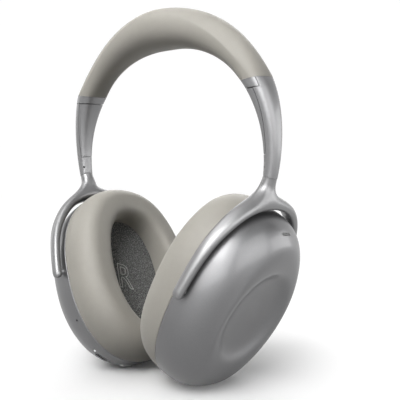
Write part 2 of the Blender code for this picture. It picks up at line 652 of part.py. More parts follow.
def yoke(body, side_name):
    """A wishbone from a coarse cage: rings along the arch, and a neck drawn out of its middle face."""
    swell = 24 / 22
    to_cup = (Matrix.Translation(PIVOT) @ LEAN).inverted()
    foot = to_cup @ FOOT
    axis = to_cup.to_3x3() @ SWIVEL_AXIS
    front_end = angle_where(lambda p: p[1] + TIP_OVERRUN, FRONT_PIVOT, pi * 1.4)
    rear_end = angle_where(lambda p: p[1] + TIP_OVERRUN, REAR_PIVOT, -pi * 0.4)
    front_neck = angle_where(lambda p: p[0] + NECK_BASE / 2, ARCH_ANGLE, pi * 0.8)
    rear_neck = angle_where(lambda p: p[0] - NECK_BASE / 2, ARCH_ANGLE, pi * 0.2)
    front = np.linspace(2 * FRONT_PIVOT - front_end, front_neck, 5)
    rear = np.linspace(rear_neck, 2 * REAR_PIVOT - rear_end, 5)
    angles = [front_end, *front, *rear, rear_end]
    centres = through([yoke_centre(angle) for angle in angles])
    cage = bmesh.new()
    rings = []
    for angle, centre in zip(angles, centres):
        step = yoke_centre(angle + 0.01) - yoke_centre(angle - 0.01)
        out = np.array((step[1], -step[0])) / np.linalg.norm(step)
        half_thick, half_wide = (half * swell for half in yoke_section(angle))
        corners = []
        for along_out, along_x in ((1, 1), (1, -1), (-1, -1), (-1, 1)):
            y, z = centre + out * half_thick * along_out
            corners.append(cage.verts.new((half_wide * along_x, y, z)))
        rings.append(corners)
    middle = len(rings) // 2 - 1
    for i, (one, two) in enumerate(zip(rings, rings[1:])):
        for k in range(4):
            if i != middle or k != 0:
                cage.faces.new((one[k], one[(k + 1) % 4], two[(k + 1) % 4], two[k]))
    cage.faces.new(rings[0])
    cage.faces.new(rings[-1])
    low = [rings[middle][0], rings[middle][1], rings[middle + 1][1], rings[middle + 1][0]]
    across = Vector((axis.z, 0, -axis.x))
    foot_half_x, foot_half_y = ARM_FOOT_THICKNESS / 2 * swell, ARM_FOOT_WIDTH / 2 * swell
    for height, grow in ((-0.72, 1.3), (-0.34, 1.1), (0.5, 1.04)):
        centre = foot + axis * height * NECK_LENGTH
        high = []
        for along_y, along_x in ((-1, 1), (-1, -1), (1, -1), (1, 1)):
            place = centre + across * foot_half_x * grow * along_x
            place += Vector((0, foot_half_y * grow * along_y, 0))
            high.append(cage.verts.new(place))
        for k in range(4):
            cage.faces.new((low[k], low[(k + 1) % 4], high[(k + 1) % 4], high[k]))
        low = high
    cage.faces.new(low)
    bmesh.ops.recalc_face_normals(cage, faces=cage.faces)
    fork = body.piece(f"{side_name}_yoke", cage, SILVER)
    smooth = fork.modifiers.new("smooth", "SUBSURF")
    smooth.levels = 2
    smooth.render_levels = 2
    turn = axis.to_track_quat("Z", "Y").to_matrix().to_4x4()
    trim = 4 * NECK_LENGTH
    trim_place = Matrix.Translation(foot + axis * (trim / 2 - CLEARANCE / 2)) @ turn
    body.cut(fork, box((trim, trim, trim), trim_place))
    bore_end = foot - axis * (POST_IN_YOKE + CLEARANCE)
    body.cut(fork, rod(POST_RADIUS + CLEARANCE, bore_end, foot + axis * NECK_LENGTH))
    for end, angle, way in (("front", FRONT_PIVOT, -1), ("rear", REAR_PIVOT, 1)):
        outer = yoke_centre(angle)[0] + way * yoke_section(angle)[0] * 0.45
        inner = outer - way * PIN_LENGTH
        body.piece(f"{side_name}_{end}_pivot_pin", rod(PIN_RADIUS, (0, inner, 0), (0, outer, 0)), STEEL)
        body.cut(fork, rod(PIN_RADIUS + CLEARANCE, (0, inner, 0), (0, outer + way * CLEARANCE, 0)))


# Ear cups

def turned(body, name, profile, look, closed=False):
    """A turned piece on the cup's axis, from radii and heights over the rim, outer side first."""
    mesh = bmesh.new()
    verts = [mesh.verts.new((radius, 0, height)) for radius, height in profile]
    for one, two in zip(verts, verts[1:]):
        mesh.edges.new((one, two))
    if closed:
        mesh.edges.new((verts[-1], verts[0]))
    data = bpy.data.meshes.new(name)
    mesh.to_mesh(data)
    mesh.free()
    made = bpy.data.objects.new(name, data)
    PIECES.objects.link(made)
    made.parent = body.frame
    made.location = (-body.side * PIVOT_FROM_RIM, 0, -PIVOT_ABOVE_CENTRE)
    made.rotation_euler = (0, body.side * pi / 2, 0)
    data.materials.append(look)
    spin = made.modifiers.new("turn", "SCREW")
    spin.steps = ROUND_SIDES
    spin.render_steps = ROUND_SIDES
    spin.use_merge_vertices = True
    spin.merge_threshold = 0.00001
    return made


def shell(body, side_name):
    """The domed shell with its dish: an open loft of ovals with a wall, and the pivots' holes."""
    profile = shell_profile()
    rings = [cup_ring(*station) for station in profile]
    rings.append([(DISH_FLOOR - PIVOT_FROM_RIM, 0, -PIVOT_ABOVE_CENTRE)])
    made = body.piece(f"{side_name}_cup_shell", loft(rings, open_start=True), SILVER)
    wall = made.modifiers.new("wall", "SOLIDIFY")
    wall.thickness = SHELL_WALL
    wall.offset = -1.0
    wall.use_even_offset = True
    for end, angle, way in (("front", FRONT_PIVOT, -1), ("rear", REAR_PIVOT, 1)):
        outside = yoke_centre(angle)[0]
        body.cut(made, rod(PIN_RADIUS + CLEARANCE, (0, outside - way * PIN_LENGTH, 0), (0, outside, 0)))
        slant = BUSH_RADIUS * tan(CUP_CANT)
        seat = outside - way * (yoke_section(angle)[0] + YOKE_GAP + SHELL_WALL + slant + 2 * CLEARANCE)
        body.piece(f"{side_name}_{end}_pivot_bush", bush(seat - way * BUSH_LENGTH, seat), BLACK)
    return made


def bush(start, end):
    """A plain bush along Y on the pivot axis."""
    rings = []
    bore = PIN_RADIUS + CLEARANCE
    for radius, y in ((BUSH_RADIUS, start), (BUSH_RADIUS, end), (bore, end), (bore, start)):
        turn = np.arange(ROUND_SIDES) * 2 * pi / ROUND_SIDES
        rings.append([(radius * cos(t), y, radius * sin(t)) for t in turn])
    return loft(rings, closed=True)


def board_corners():
    """Places of the four posts under the board's corners."""
    across = BOARD_WIDTH / 2 - BOARD_SCREW_INSET
    along = BOARD_LENGTH / 2 - BOARD_SCREW_INSET
    return [(y * across, z * along - PIVOT_ABOVE_CENTRE) for y in (-1, 1) for z in (-1, 1)]


def board_screws():
    """The two opposite corners that hold a screw."""
    corners = board_corners()
    return corners[0], corners[3]


BOARD_FOOT = DRIVER_DEPTH + MAGNET_DEPTH + 2 * CLEARANCE - BAFFLE_PLATE
BORE_OF_BOARD = BOARD_SCREW_RADIUS + CLEARANCE


def baffle(body, side_name):
    """A plate in the shell's mouth with a skirt inside of the shell, the driver's hole and four posts."""
    fit = 2 * (SHELL_WALL + DISH_LIP / 2 + CLEARANCE)
    skirt = (CUP_LENGTH - fit, CUP_WIDTH - fit)
    inside = (skirt[0] - 2 * BAFFLE_WALL, skirt[1] - 2 * BAFFLE_WALL)
    hole = 2 * (DRIVER_RADIUS + CLEARANCE)
    plate_top = BAFFLE_FOOT + BAFFLE_PLATE
    stations = [(BAFFLE_FOOT, *FLANGE), (BAFFLE_TOP, *FLANGE), (BAFFLE_TOP, *skirt), (BAFFLE_SKIRT, *skirt),
                (BAFFLE_SKIRT, *inside), (plate_top, *inside), (plate_top, hole, hole),
                (BAFFLE_FOOT, hole, hole)]
    made = body.piece(f"{side_name}_baffle", loft([cup_ring(*s) for s in stations], closed=True), BLACK)
    top = BOARD_FOOT - CLEARANCE - PIVOT_FROM_RIM
    depth = top - 4 * BAFFLE_PLATE
    head = BOARD_FOOT + BOARD_THICKNESS + CLEARANCE - PIVOT_FROM_RIM
    for y, z in board_corners():
        start = (BAFFLE_FOOT + BAFFLE_PLATE / 2 - PIVOT_FROM_RIM, y, z)
        body.cut(made, rod(BORE_OF_BOARD + POST_WALL, start, (top, y, z), sides=10), "UNION")
    for end, (y, z) in zip(("lower", "upper"), board_screws()):
        body.cut(made, rod(BORE_OF_BOARD, (depth, y, z), (top + BAFFLE_PLATE, y, z), sides=10))
        body.piece(f"{side_name}_{end}_board_screw", board_screw(head, depth + CLEARANCE, y, z), STEEL)


def board_screw(head, tip, y, z):
    """A pan-head screw along the cup's axis, as one turned form."""
    stations = ((BOARD_SCREW_RADIUS, tip), (BOARD_SCREW_RADIUS, head), (2 * BOARD_SCREW_RADIUS, head),
                (2 * BOARD_SCREW_RADIUS, head + BOARD_SCREW_RADIUS))
    rings = []
    for radius, x in stations:
        turn = np.arange(10) * 2 * pi / 10
        rings.append([(x, y + radius * cos(t), z + radius * sin(t)) for t in turn])
    return loft(rings)


def driver_and_board(body, side_name):
    """The driver in the baffle's hole, and the board on the posts behind it."""
    front = BAFFLE_FOOT + CLEARANCE
    back = front + DRIVER_DEPTH
    rim = DRIVER_RADIUS - 0.06 * DRIVER_RADIUS
    neck = MAGNET_RADIUS + BAFFLE_WALL
    sheet = 0.05 * DRIVER_RADIUS
    basket = [(DRIVER_RADIUS, front + 2 * sheet), (neck, back), (MAGNET_RADIUS * 0.8, back),
              (MAGNET_RADIUS * 0.8, back - sheet), (neck - sheet, back - sheet), (rim, front + sheet),
              (rim, front), (DRIVER_RADIUS, front)]
    turned(body, f"{side_name}_driver_basket", basket[::-1], GREY, closed=True)
    cone = rim - CLEARANCE
    edge = front + 0.6 * sheet
    half = 0.2 * sheet
    diaphragm = [(0, edge + 1.6 * sheet + half), (0.25 * cone, edge + 1.1 * sheet + half),
                 (0.45 * cone, edge + half), (0.75 * cone, edge + 0.9 * sheet + half),
                 (cone, edge + half - sheet / 2),
                 (cone, edge - half - sheet / 2), (0.75 * cone, edge + 0.9 * sheet - half),
                 (0.45 * cone, edge - half), (0.25 * cone, edge + 1.1 * sheet - half),
                 (0, edge + 1.6 * sheet - half)]
    turned(body, f"{side_name}_driver_diaphragm", diaphragm, BLACK)
    foot = back + CLEARANCE
    magnet = [(0, foot + MAGNET_DEPTH), (MAGNET_RADIUS, foot + MAGNET_DEPTH), (MAGNET_RADIUS, foot), (0, foot)]
    turned(body, f"{side_name}_driver_magnet", magnet, STEEL)
    place = Matrix.Translation((BOARD_FOOT + BOARD_THICKNESS / 2 - PIVOT_FROM_RIM, 0, -PIVOT_ABOVE_CENTRE))
    plate = box((BOARD_THICKNESS, BOARD_WIDTH, BOARD_LENGTH), place)
    board = body.piece(f"{side_name}_circuit_board", plate, BOARD)
    near = BOARD_FOOT - BAFFLE_PLATE - PIVOT_FROM_RIM
    for y, z in board_screws():
        body.cut(board, rod(BORE_OF_BOARD, (near, y, z), (near + 4 * BAFFLE_PLATE, y, z), sides=10))


def cushion(body, side_name):
    """The cushion, the ring that clips it on and the fabric liner that shows in the ear opening."""
    body.piece(f"{side_name}_ear_cushion", loft(cushion_rings(), closed=True), LEATHERETTE)
    grip = 0.1 * EAR_LENGTH
    outer = (FLANGE[0] - grip, FLANGE[1] - grip)
    inner = (EAR_LENGTH - grip, EAR_WIDTH - grip)
    ring = []
    for height, size, share in ((RING_FOOT, outer, 0), (RING_TOP, outer, 0), (RING_TOP, inner, 1),
                                (RING_FOOT, inner, 1)):
        ring.append(cup_ring(height, *size, CUP_SIDES // 2, EAR_BACK * share, EAR_RAISE * share))
    body.piece(f"{side_name}_cushion_ring", loft(ring, closed=True), BLACK)
    cloth = (EAR_LENGTH - 2 * CLEARANCE, EAR_WIDTH - 2 * CLEARANCE)
    heights = (CUSHION_TOP, CUSHION_TOP - LINER_DEPTH)
    sheet = [cup_ring(h, *cloth, CUP_SIDES, EAR_BACK, EAR_RAISE) for h in heights]
    body.piece(f"{side_name}_liner", loft(sheet), FABRIC)


def mic_slit(body, side_name, made):
    """A slit high on the shell, with a dark insert."""
    place = wall_frame(MIC_SLIT_ANGLE, MIC_SLIT_HEIGHT)
    room = (MIC_SLIT_LENGTH + 2 * CLEARANCE, MIC_SLIT_WIDTH + 2 * CLEARANCE)
    body.cut(made, pill(*room, 6 * SHELL_WALL, place))
    sunk = place @ Matrix.Translation((0, 0, -SHELL_WALL / 2 - CLEARANCE))
    body.piece(f"{side_name}_mic_insert", pill(MIC_SLIT_LENGTH, MIC_SLIT_WIDTH, SHELL_WALL, sunk), BLACK)


def button(body, name, place, angle, made):
    """A push button through the shell's wall, in a frame of its own, with a flange inside that keeps it in."""
    wall = wall_frame(angle, BUTTON_HEIGHT)
    room = (BUTTON_LENGTH + 2 * CLEARANCE, BUTTON_WIDTH + 2 * CLEARANCE)
    body.cut(made, pill(*room, 6 * SHELL_WALL, wall))
    flip = Matrix.Diagonal((body.side, 1, 1, 1))
    pressed = Body(f"{name}_press", body.side, body, flip @ place @ wall @ flip)
    stem = SHELL_WALL + BUTTON_PROUD + 2 * BUTTON_FLANGE
    cap = Matrix.Translation((0, 0, BUTTON_PROUD - stem / 2))
    key = pressed.piece(name, pill(BUTTON_LENGTH, BUTTON_WIDTH, stem, cap), SILVER)
    foot = Matrix.Translation((0, 0, BUTTON_PROUD - stem - BUTTON_FLANGE / 4))
    wide = (BUTTON_LENGTH + 2 * BUTTON_FLANGE, BUTTON_WIDTH + 2 * BUTTON_FLANGE)
    pressed.cut(key, pill(*wide, BUTTON_FLANGE, foot), "UNION")


def right_features(body, made):
    """The charging socket, status light and voice microphone in the right shell."""
    place = wall_frame(CHARGE_ANGLE, CHARGE_HEIGHT)
    room = (CHARGE_LENGTH + 2 * CLEARANCE, CHARGE_WIDTH + 2 * CLEARANCE)
    body.cut(made, pill(*room, 6 * SHELL_WALL, place))
    sunk = place @ Matrix.Translation((0, 0, -CHARGE_DEPTH / 2 - SHELL_WALL / 2))
    socket = body.piece("right_charge_socket", pill(CHARGE_LENGTH, CHARGE_WIDTH, CHARGE_DEPTH, sunk), STEEL)
    wall = 2 * CLEARANCE
    mouth = sunk @ Matrix.Translation((0, 0, 2 * wall))
    body.cut(socket, pill(CHARGE_LENGTH - 2 * wall, CHARGE_WIDTH - 2 * wall, CHARGE_DEPTH, mouth))
    place = wall_frame(LIGHT_ANGLE, LIGHT_HEIGHT)
    outside = place @ Vector((0, 0, SHELL_WALL))
    body.cut(made, rod(LIGHT_RADIUS + CLEARANCE, place @ Vector((0, 0, -2 * SHELL_WALL)), outside, sides=12))
    start = place @ Vector((0, 0, -SHELL_WALL))
    body.piece("right_status_light", rod(LIGHT_RADIUS, start, place @ Vector((0, 0, 0)), sides=12), LAMP)
    place = wall_frame(VOICE_MIC_ANGLE, VOICE_MIC_HEIGHT)
    outside = place @ Vector((0, 0, SHELL_WALL))
    body.cut(made, rod(VOICE_MIC_HOLE, place @ Vector((0, 0, -2 * SHELL_WALL)), outside, sides=12))
    seat = -SHELL_WALL - 2 * CLEARANCE
    start = place @ Vector((0, 0, seat - VOICE_MIC_DEPTH))
    body.piece("right_voice_mic", rod(VOICE_MIC_RADIUS, start, place @ Vector((0, 0, seat)), sides=12), BLACK)


def battery(body):
    """A flat cell on the left baffle, over the driver."""
    low = DRIVER_RADIUS + 2 * BAFFLE_WALL + CLEARANCE
    floor = BAFFLE_FOOT + BAFFLE_PLATE + CLEARANCE
    place = Matrix.Translation((floor + BATTERY_DEPTH / 2 - PIVOT_FROM_RIM, 0,
                                low + BATTERY_LENGTH / 2 - PIVOT_ABOVE_CENTRE))
    cell = body.piece("left_battery", box((BATTERY_DEPTH, BATTERY_WIDTH, BATTERY_LENGTH), place), FOIL)
    edge = cell.modifiers.new("edge", "BEVEL")
    edge.width = BATTERY_DEPTH / 6
    edge.segments = 2


# Put the bodies together: band, then arm, fork and cup on each side
band = Body("headphones", 1)
headband(band)
for side_name, side in (("left", 1), ("right", -1)):
    flip = Matrix.Diagonal((side, 1, 1, 1))
    hung = Matrix.Translation(PIVOT) @ LEAN
    end = Body(f"{side_name}_band_end", side, band)
    collar_and_guide(end, side_name)
    sliding = Body(f"{side_name}_arm_slide", side, band, Matrix.Translation(flip @ SEAM))
    arm(sliding, side_name)
    turning = Body(f"{side_name}_fork_swivel", side, sliding, flip @ hung @ flip)
    yoke(turning, side_name)
    cup = Body(f"{side_name}_cup_tilt", side, turning, flip @ hung @ flip)
    dome = shell(cup, side_name)
    baffle(cup, side_name)
    driver_and_board(cup, side_name)
    cushion(cup, side_name)
    mic_slit(cup, side_name, dome)
    if side > 0:
        battery(cup)
        button(cup, "left_mode_button", hung, MODE_BUTTON_ANGLE, dome)
    else:
        right_features(cup, dome)
        button(cup, "right_power_button", hung, POWER_BUTTON_ANGLE, dome)
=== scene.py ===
import json

import bmesh
import bpy
import numpy as np
from mathutils import Matrix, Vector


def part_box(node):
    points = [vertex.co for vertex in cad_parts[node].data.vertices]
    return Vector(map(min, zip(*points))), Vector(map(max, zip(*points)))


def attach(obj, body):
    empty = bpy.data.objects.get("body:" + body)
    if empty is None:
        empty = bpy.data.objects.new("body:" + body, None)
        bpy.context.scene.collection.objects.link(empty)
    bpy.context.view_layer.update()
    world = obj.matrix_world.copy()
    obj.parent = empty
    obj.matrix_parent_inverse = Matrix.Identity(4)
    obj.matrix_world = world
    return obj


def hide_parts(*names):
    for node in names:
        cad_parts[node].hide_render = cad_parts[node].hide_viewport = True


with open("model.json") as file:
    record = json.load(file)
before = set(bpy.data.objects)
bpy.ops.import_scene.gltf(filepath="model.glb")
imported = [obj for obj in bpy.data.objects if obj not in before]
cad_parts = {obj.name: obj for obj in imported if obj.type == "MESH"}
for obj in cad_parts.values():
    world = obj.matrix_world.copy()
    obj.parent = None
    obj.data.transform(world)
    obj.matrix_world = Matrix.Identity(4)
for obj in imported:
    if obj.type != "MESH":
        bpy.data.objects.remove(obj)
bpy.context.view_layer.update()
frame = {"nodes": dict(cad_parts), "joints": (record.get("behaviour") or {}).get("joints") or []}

# Camera: a short portrait lens at the height of the headband's arms, turned 40 degrees to the wearer's left,
# so that the left cup shows its dome and the right cup its cushion.
camera_turn, camera_pitch, camera_roll = np.radians((40.0, 3.78, -0.78))
focal_pixels, frame_pixels, sensor_width = 653.0, 400.0, 36.0
right = np.array((np.cos(camera_turn), np.sin(camera_turn), 0.0))
ahead = np.array((-np.sin(camera_turn), np.cos(camera_turn), 0.0))
up = np.array((0.0, 0.0, 1.0))
stand = 0.01725 * right - 0.348 * ahead + 0.11585 * up
gaze = ahead * np.cos(camera_pitch) - up * np.sin(camera_pitch)
lift = up * np.cos(camera_pitch) + ahead * np.sin(camera_pitch)
side = right * np.cos(camera_roll) + lift * np.sin(camera_roll)
lift = lift * np.cos(camera_roll) - right * np.sin(camera_roll)


def placed(across, upward, backward, place):
    """The matrix of a camera or a lamp, its columns the three axes and the place."""
    return Matrix(np.vstack((np.stack((across, upward, backward, place), axis=1), (0, 0, 0, 1))).tolist())


camera = bpy.data.objects.new("camera", bpy.data.cameras.new("camera"))
camera.data.sensor_width = sensor_width
camera.data.lens = focal_pixels * sensor_width / frame_pixels
camera.data.clip_start = 0.01
camera.matrix_world = placed(side, lift, -gaze, stand)
bpy.context.scene.collection.objects.link(camera)
bpy.context.scene.camera = camera
bpy.context.scene.view_settings.view_transform = "Standard"


# Studio: a white floor that is lit near the object, keeps its shadow and runs out into plain white, with a white
# backdrop and low white walls. A key lamp, one overhead, a weak strip on the left and a fill from behind light
# the object, and white cards round it show only as reflections in the metal.
def new_material(name):
    """A material with an empty node tree, and that tree."""
    material = bpy.data.materials.new(name)
    material.use_nodes = True
    material.node_tree.nodes.clear()
    return material, material.node_tree


def put(tree, kind, settings=None, **values):
    """A node with attributes set from settings, and sockets set or linked by name, or by number as i0, i1."""
    made = tree.nodes.new(kind)
    for name, value in (settings or {}).items():
        setattr(made, name, value)
    for name, value in values.items():
        numbered = name[0] == "i" and name[1:].isdigit()
        socket = made.inputs[int(name[1:]) if numbered else name.replace("_", " ")]
        if isinstance(value, bpy.types.NodeSocket):
            tree.links.new(value, socket)
        else:
            socket.default_value = value
    return made


def object_place(tree):
    """The Object coordinates of the shaded point."""
    return put(tree, "ShaderNodeTexCoord").outputs["Object"]


def math_node(tree, operation, *values):
    """The result of one operation on numbers or sockets."""
    sockets = {f"i{number}": value for number, value in enumerate(values)}
    return put(tree, "ShaderNodeMath", {"operation": operation}, **sockets).outputs[0]


def map_range(tree, value, low, high, start=0.0, end=1.0):
    """A value carried evenly from between start and end to between low and high, and held beyond them."""
    return put(tree, "ShaderNodeMapRange", Value=value, i1=start, i2=end, i3=low, i4=high).outputs[0]


def shade(tree, **values):
    """Ends a material in one principled shader, with its sockets set or linked."""
    shader = put(tree, "ShaderNodeBsdfPrincipled", **values)
    put(tree, "ShaderNodeOutputMaterial", Surface=shader.outputs[0])


def white_stage(name, start, end, bounce):
    """Matt white near the object, which keeps the shadow, and a plain white glow further off, by the distance
    from the object's middle. The glow is for the camera and for what is mirrored or seen through, and adds no
    light."""
    material, tree = new_material(name)
    away = put(tree, "ShaderNodeVectorMath", {"operation": "DISTANCE"}, i0=object_place(tree),
               i1=tuple(0.02 * ahead))
    glow = put(tree, "ShaderNodeMapRange", {"interpolation_type": "SMOOTHSTEP"}, Value=away.outputs["Value"],
               i1=start, i2=end, i3=0.02, i4=1.0).outputs[0]
    path = put(tree, "ShaderNodeLightPath").outputs
    seen = math_node(tree, "MAXIMUM", path["Is Camera Ray"], path["Is Glossy Ray"])
    seen = math_node(tree, "MAXIMUM", seen, path["Is Transmission Ray"])
    matt = map_range(tree, glow, 0.9, 0.04)
    shade(tree, Base_Color=map_range(tree, seen, bounce, matt), Roughness=0.9, Specular_IOR_Level=0.1,
          Emission_Color=(1, 1, 1, 1), Emission_Strength=math_node(tree, "MULTIPLY", seen, glow))
    return material


def stage_plane(name, corners, material):
    """One flat quadrilateral that isn't part of the object."""
    mesh = bpy.data.meshes.new(name)
    mesh.from_pydata(corners, [], [(0, 1, 2, 3)])
    mesh.materials.append(material)
    plane = bpy.data.objects.new(name, mesh)
    bpy.context.scene.collection.objects.link(plane)


floor_half, wall_height, backdrop_away, backdrop_half, backdrop_height = 4.0, 1.5, 1.6, 3.0, 3.0
floor_corners = [(x * floor_half, y * floor_half) for x, y in ((-1, -1), (1, -1), (1, 1), (-1, 1))]
stage_plane("floor", [(x, y, 0) for x, y in floor_corners], white_stage("floor_white", 0.03, 0.115, 0.15))
backdrop_white = white_stage("backdrop_white", 0.1, 0.2, 0.3)
backdrop_left = backdrop_away * ahead - backdrop_half * right
backdrop_right = backdrop_away * ahead + backdrop_half * right
backdrop = (backdrop_left, backdrop_right, backdrop_right + backdrop_height * up,
            backdrop_left + backdrop_height * up)
stage_plane("backdrop", [tuple(point) for point in backdrop], backdrop_white)
wall_names = ("front_wall", "right_wall", "rear_wall", "left_wall")
for name, (x, y), (u, v) in zip(wall_names, floor_corners, floor_corners[1:] + floor_corners[:1]):
    stage_plane(name, [(x, y, 0), (u, v, 0), (u, v, wall_height), (x, y, wall_height)], backdrop_white)

world = bpy.data.worlds.new("room")
bpy.context.scene.world = world
world.use_nodes = True
world.node_tree.nodes["Background"].inputs["Color"].default_value = (0.07, 0.07, 0.07, 1)
lamp_aim = 0.08


def soft_box(name, where, size, watts):
    """An area lamp at a place given to the right, ahead and up from the object, aimed at its middle."""
    lamp = bpy.data.lights.new(name, "AREA")
    lamp.shape = "RECTANGLE"
    lamp.size, lamp.size_y = size
    lamp.energy = watts
    place = where[0] * right + where[1] * ahead + where[2] * up
    away = place - lamp_aim * up
    away /= np.linalg.norm(away)
    across = np.cross(up, away)
    across /= np.linalg.norm(across)
    made = bpy.data.objects.new(name, lamp)
    made.matrix_world = placed(across, np.cross(away, across), away, place)
    bpy.context.scene.collection.objects.link(made)
    return made


soft_box("key_box", (-0.32, -0.66, 0.76), (0.55, 0.55), 9.0)
soft_box("top_box", (-0.30, 0.0, 1.0), (0.7, 0.7), 3.0)
soft_box("left_strip", (-0.85, -0.20, 0.45), (0.25, 0.5), 0.5)
soft_box("rear_box", (0.15, 0.85, 0.60), (0.8, 0.6), 4.0)
for name, where, size, watts in (("front_card", (-0.28, -0.80, 0.52), (1.0, 1.0), 14.0),
                                 ("right_card", (0.74, -0.66, 0.40), (1.0, 0.8), 9.0),
                                 ("top_card", (0.30, 0.15, 0.95), (1.1, 0.9), 2.4),
                                 ("crown_card", (-0.50, 0.0, 0.90), (0.6, 0.6), 3.0),
                                 ("rear_card", (-0.90, 0.40, 0.45), (0.4, 0.8), 2.4),
                                 ("low_card", (0.90, 0.15, 0.20), (0.6, 0.36), 2.4)):
    soft_box(name, where, size, watts).visible_diffuse = False


# Headband pad: a foam tube under one taupe leatherette cover, flat on the outside and round towards the head,
# that slims towards its ends and is drawn in where it meets the metal.
band_half_width, band_rise, band_fullness = 0.067, 0.0626, 2.1
pad_fullness, arm_fullness = 2.2, 2.7
end_thick, middle_thick, end_wide, middle_wide = 0.00595, 0.0104, 0.00815, 0.013
band_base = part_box("headband_pad")[1][2] - band_rise - middle_thick
pad_end_rise, seam_rake, raked_share = 0.032, 0.42, 0.2
tuck_depth, tuck_share = 0.00008, 0.006


def signed_power(value, exponent):
    """A power that keeps the sign."""
    return np.sign(value) * np.abs(value) ** exponent


def arch(angle):
    """Superellipse (x / a)^p + (z / b)^p = 1 at an angle, with its outward normal from the gradient."""
    c, s = np.cos(angle), np.sin(angle)
    share, slope = 2 / band_fullness, 2 - 2 / band_fullness
    point = np.stack((band_half_width * signed_power(c, share), band_rise * signed_power(s, share)), -1)
    normal = np.stack((signed_power(c, slope) / band_half_width, signed_power(s, slope) / band_rise), -1)
    return point, normal / np.linalg.norm(normal, axis=-1, keepdims=True)


def arch_angle(rise):
    """The arch's angle at a height over its widest place: the arc sine of (rise / b)^(p / 2)."""
    return np.sign(rise) * np.arcsin(np.abs(rise / band_rise) ** (band_fullness / 2))


def along_arch(angle, out, across, rake):
    """Rows of offsets out of the arch and along Y, each square to the arch at its angle, or raked along it."""
    point, normal = arch(angle)
    x = point[:, None, 0] + (normal[:, 0] + normal[:, 1] * rake)[:, None] * out
    z = band_base + point[:, None, 1] + (normal[:, 1] - normal[:, 0] * rake)[:, None] * out
    return np.stack((x, np.broadcast_to(across, x.shape), z), -1)


def finished(name, mesh, material, sharp):
    """Joins doubled points, turns the faces outwards, shades smooth and puts the mesh in the scene."""
    work = bmesh.new()
    work.from_mesh(mesh)
    bmesh.ops.remove_doubles(work, verts=work.verts, dist=1e-7)
    bmesh.ops.recalc_face_normals(work, faces=work.faces)
    work.to_mesh(mesh)
    work.free()
    mesh.shade_smooth()
    mesh.set_sharp_from_angle(angle=np.radians(sharp))
    mesh.materials.append(material)
    made = bpy.data.objects.new(name, mesh)
    bpy.context.scene.collection.objects.link(made)
    return made


def surface(name, grid, material, sharp, mirror=False):
    """A closed surface through rows of points, round in each row, with a fan over its first and last rows."""
    rows, cols, _ = grid.shape
    points = np.concatenate((grid.reshape(-1, 3), grid[:1].mean(axis=1), grid[-1:].mean(axis=1)))
    if mirror:
        points = points * (-1, 1, 1)
    i, j = np.meshgrid(np.arange(rows - 1), np.arange(cols), indexing="ij")
    k = (j + 1) % cols
    quads = np.stack((i * cols + j, (i + 1) * cols + j, (i + 1) * cols + k, i * cols + k), -1).reshape(-1, 4)
    one, two = np.arange(cols), (np.arange(cols) + 1) % cols
    last = (rows - 1) * cols
    first_fan = np.stack((one, two, np.full(cols, rows * cols)), -1)
    last_fan = np.stack((last + two, last + one, np.full(cols, rows * cols + 1)), -1)
    mesh = bpy.data.meshes.new(name)
    mesh.from_pydata(points.tolist(), [], quads.tolist() + first_fan.tolist() + last_fan.tolist())
    return finished(name, mesh, material, sharp)


def group(name, inputs, outputs):
    """An empty shader node group with named value inputs and outputs."""
    tree = bpy.data.node_groups.new(name, "ShaderNodeTree")
    for label, value in inputs:
        tree.interface.new_socket(label, in_out="INPUT", socket_type="NodeSocketFloat").default_value = value
    for label in outputs:
        tree.interface.new_socket(label, in_out="OUTPUT", socket_type="NodeSocketFloat")
    return tree, put(tree, "NodeGroupInput"), put(tree, "NodeGroupOutput")


def noise(tree, where, scale, detail, rough=0.5):
    """A noise from 0 to 1 with about so many swings to the metre."""
    made = put(tree, "ShaderNodeTexNoise", Vector=where, Scale=scale, Detail=detail, Roughness=rough)
    return made.outputs["Fac"]


def two_tone(tree, share, dark, light):
    """A colour between a dark and a light one, by a share that changes over the surface."""
    made = put(tree, "ShaderNodeMix", {"data_type": "RGBA"}, Factor=share, i6=(*dark, 1), i7=(*light, 1))
    return made.outputs[2]


leather_grain, given, gives = group("leather_grain", [("Pebbles per metre", 1500.0), ("Fine share", 0.15)],
                                    ["Height", "Tone"])
where = object_place(leather_grain)
pebble = put(leather_grain, "ShaderNodeTexVoronoi", {"feature": "SMOOTH_F1"}, Vector=where,
             Scale=given.outputs["Pebbles per metre"], Smoothness=0.6, Randomness=0.9)
height = math_node(leather_grain, "MULTIPLY_ADD", noise(leather_grain, where, 4200.0, 3.0),
                   given.outputs["Fine share"], pebble.outputs["Distance"])
wander = math_node(leather_grain, "MULTIPLY", noise(leather_grain, where, 300.0, 2.0), 0.5)
tone = math_node(leather_grain, "MULTIPLY_ADD", noise(leather_grain, where, 45.0, 3.0), 0.5, wander)
leather_grain.links.new(height, gives.inputs["Height"])
leather_grain.links.new(tone, gives.inputs["Tone"])


def leatherette(name, dark, light, depth):
    """Satin leatherette: a pebbled grain in the bump, and a tone that wanders between two near colours."""
    material, tree = new_material(name)
    grain = put(tree, "ShaderNodeGroup", {"node_tree": leather_grain}).outputs
    bump = put(tree, "ShaderNodeBump", Height=grain["Height"], Strength=0.35, Distance=depth)
    shade(tree, Base_Color=two_tone(tree, grain["Tone"], dark, light),
          Roughness=map_range(tree, grain["Height"], 0.50, 0.62, 0.1, 0.8), Normal=bump.outputs[0],
          Specular_IOR_Level=0.42, Sheen_Weight=0.12, Sheen_Roughness=0.5)
    return material


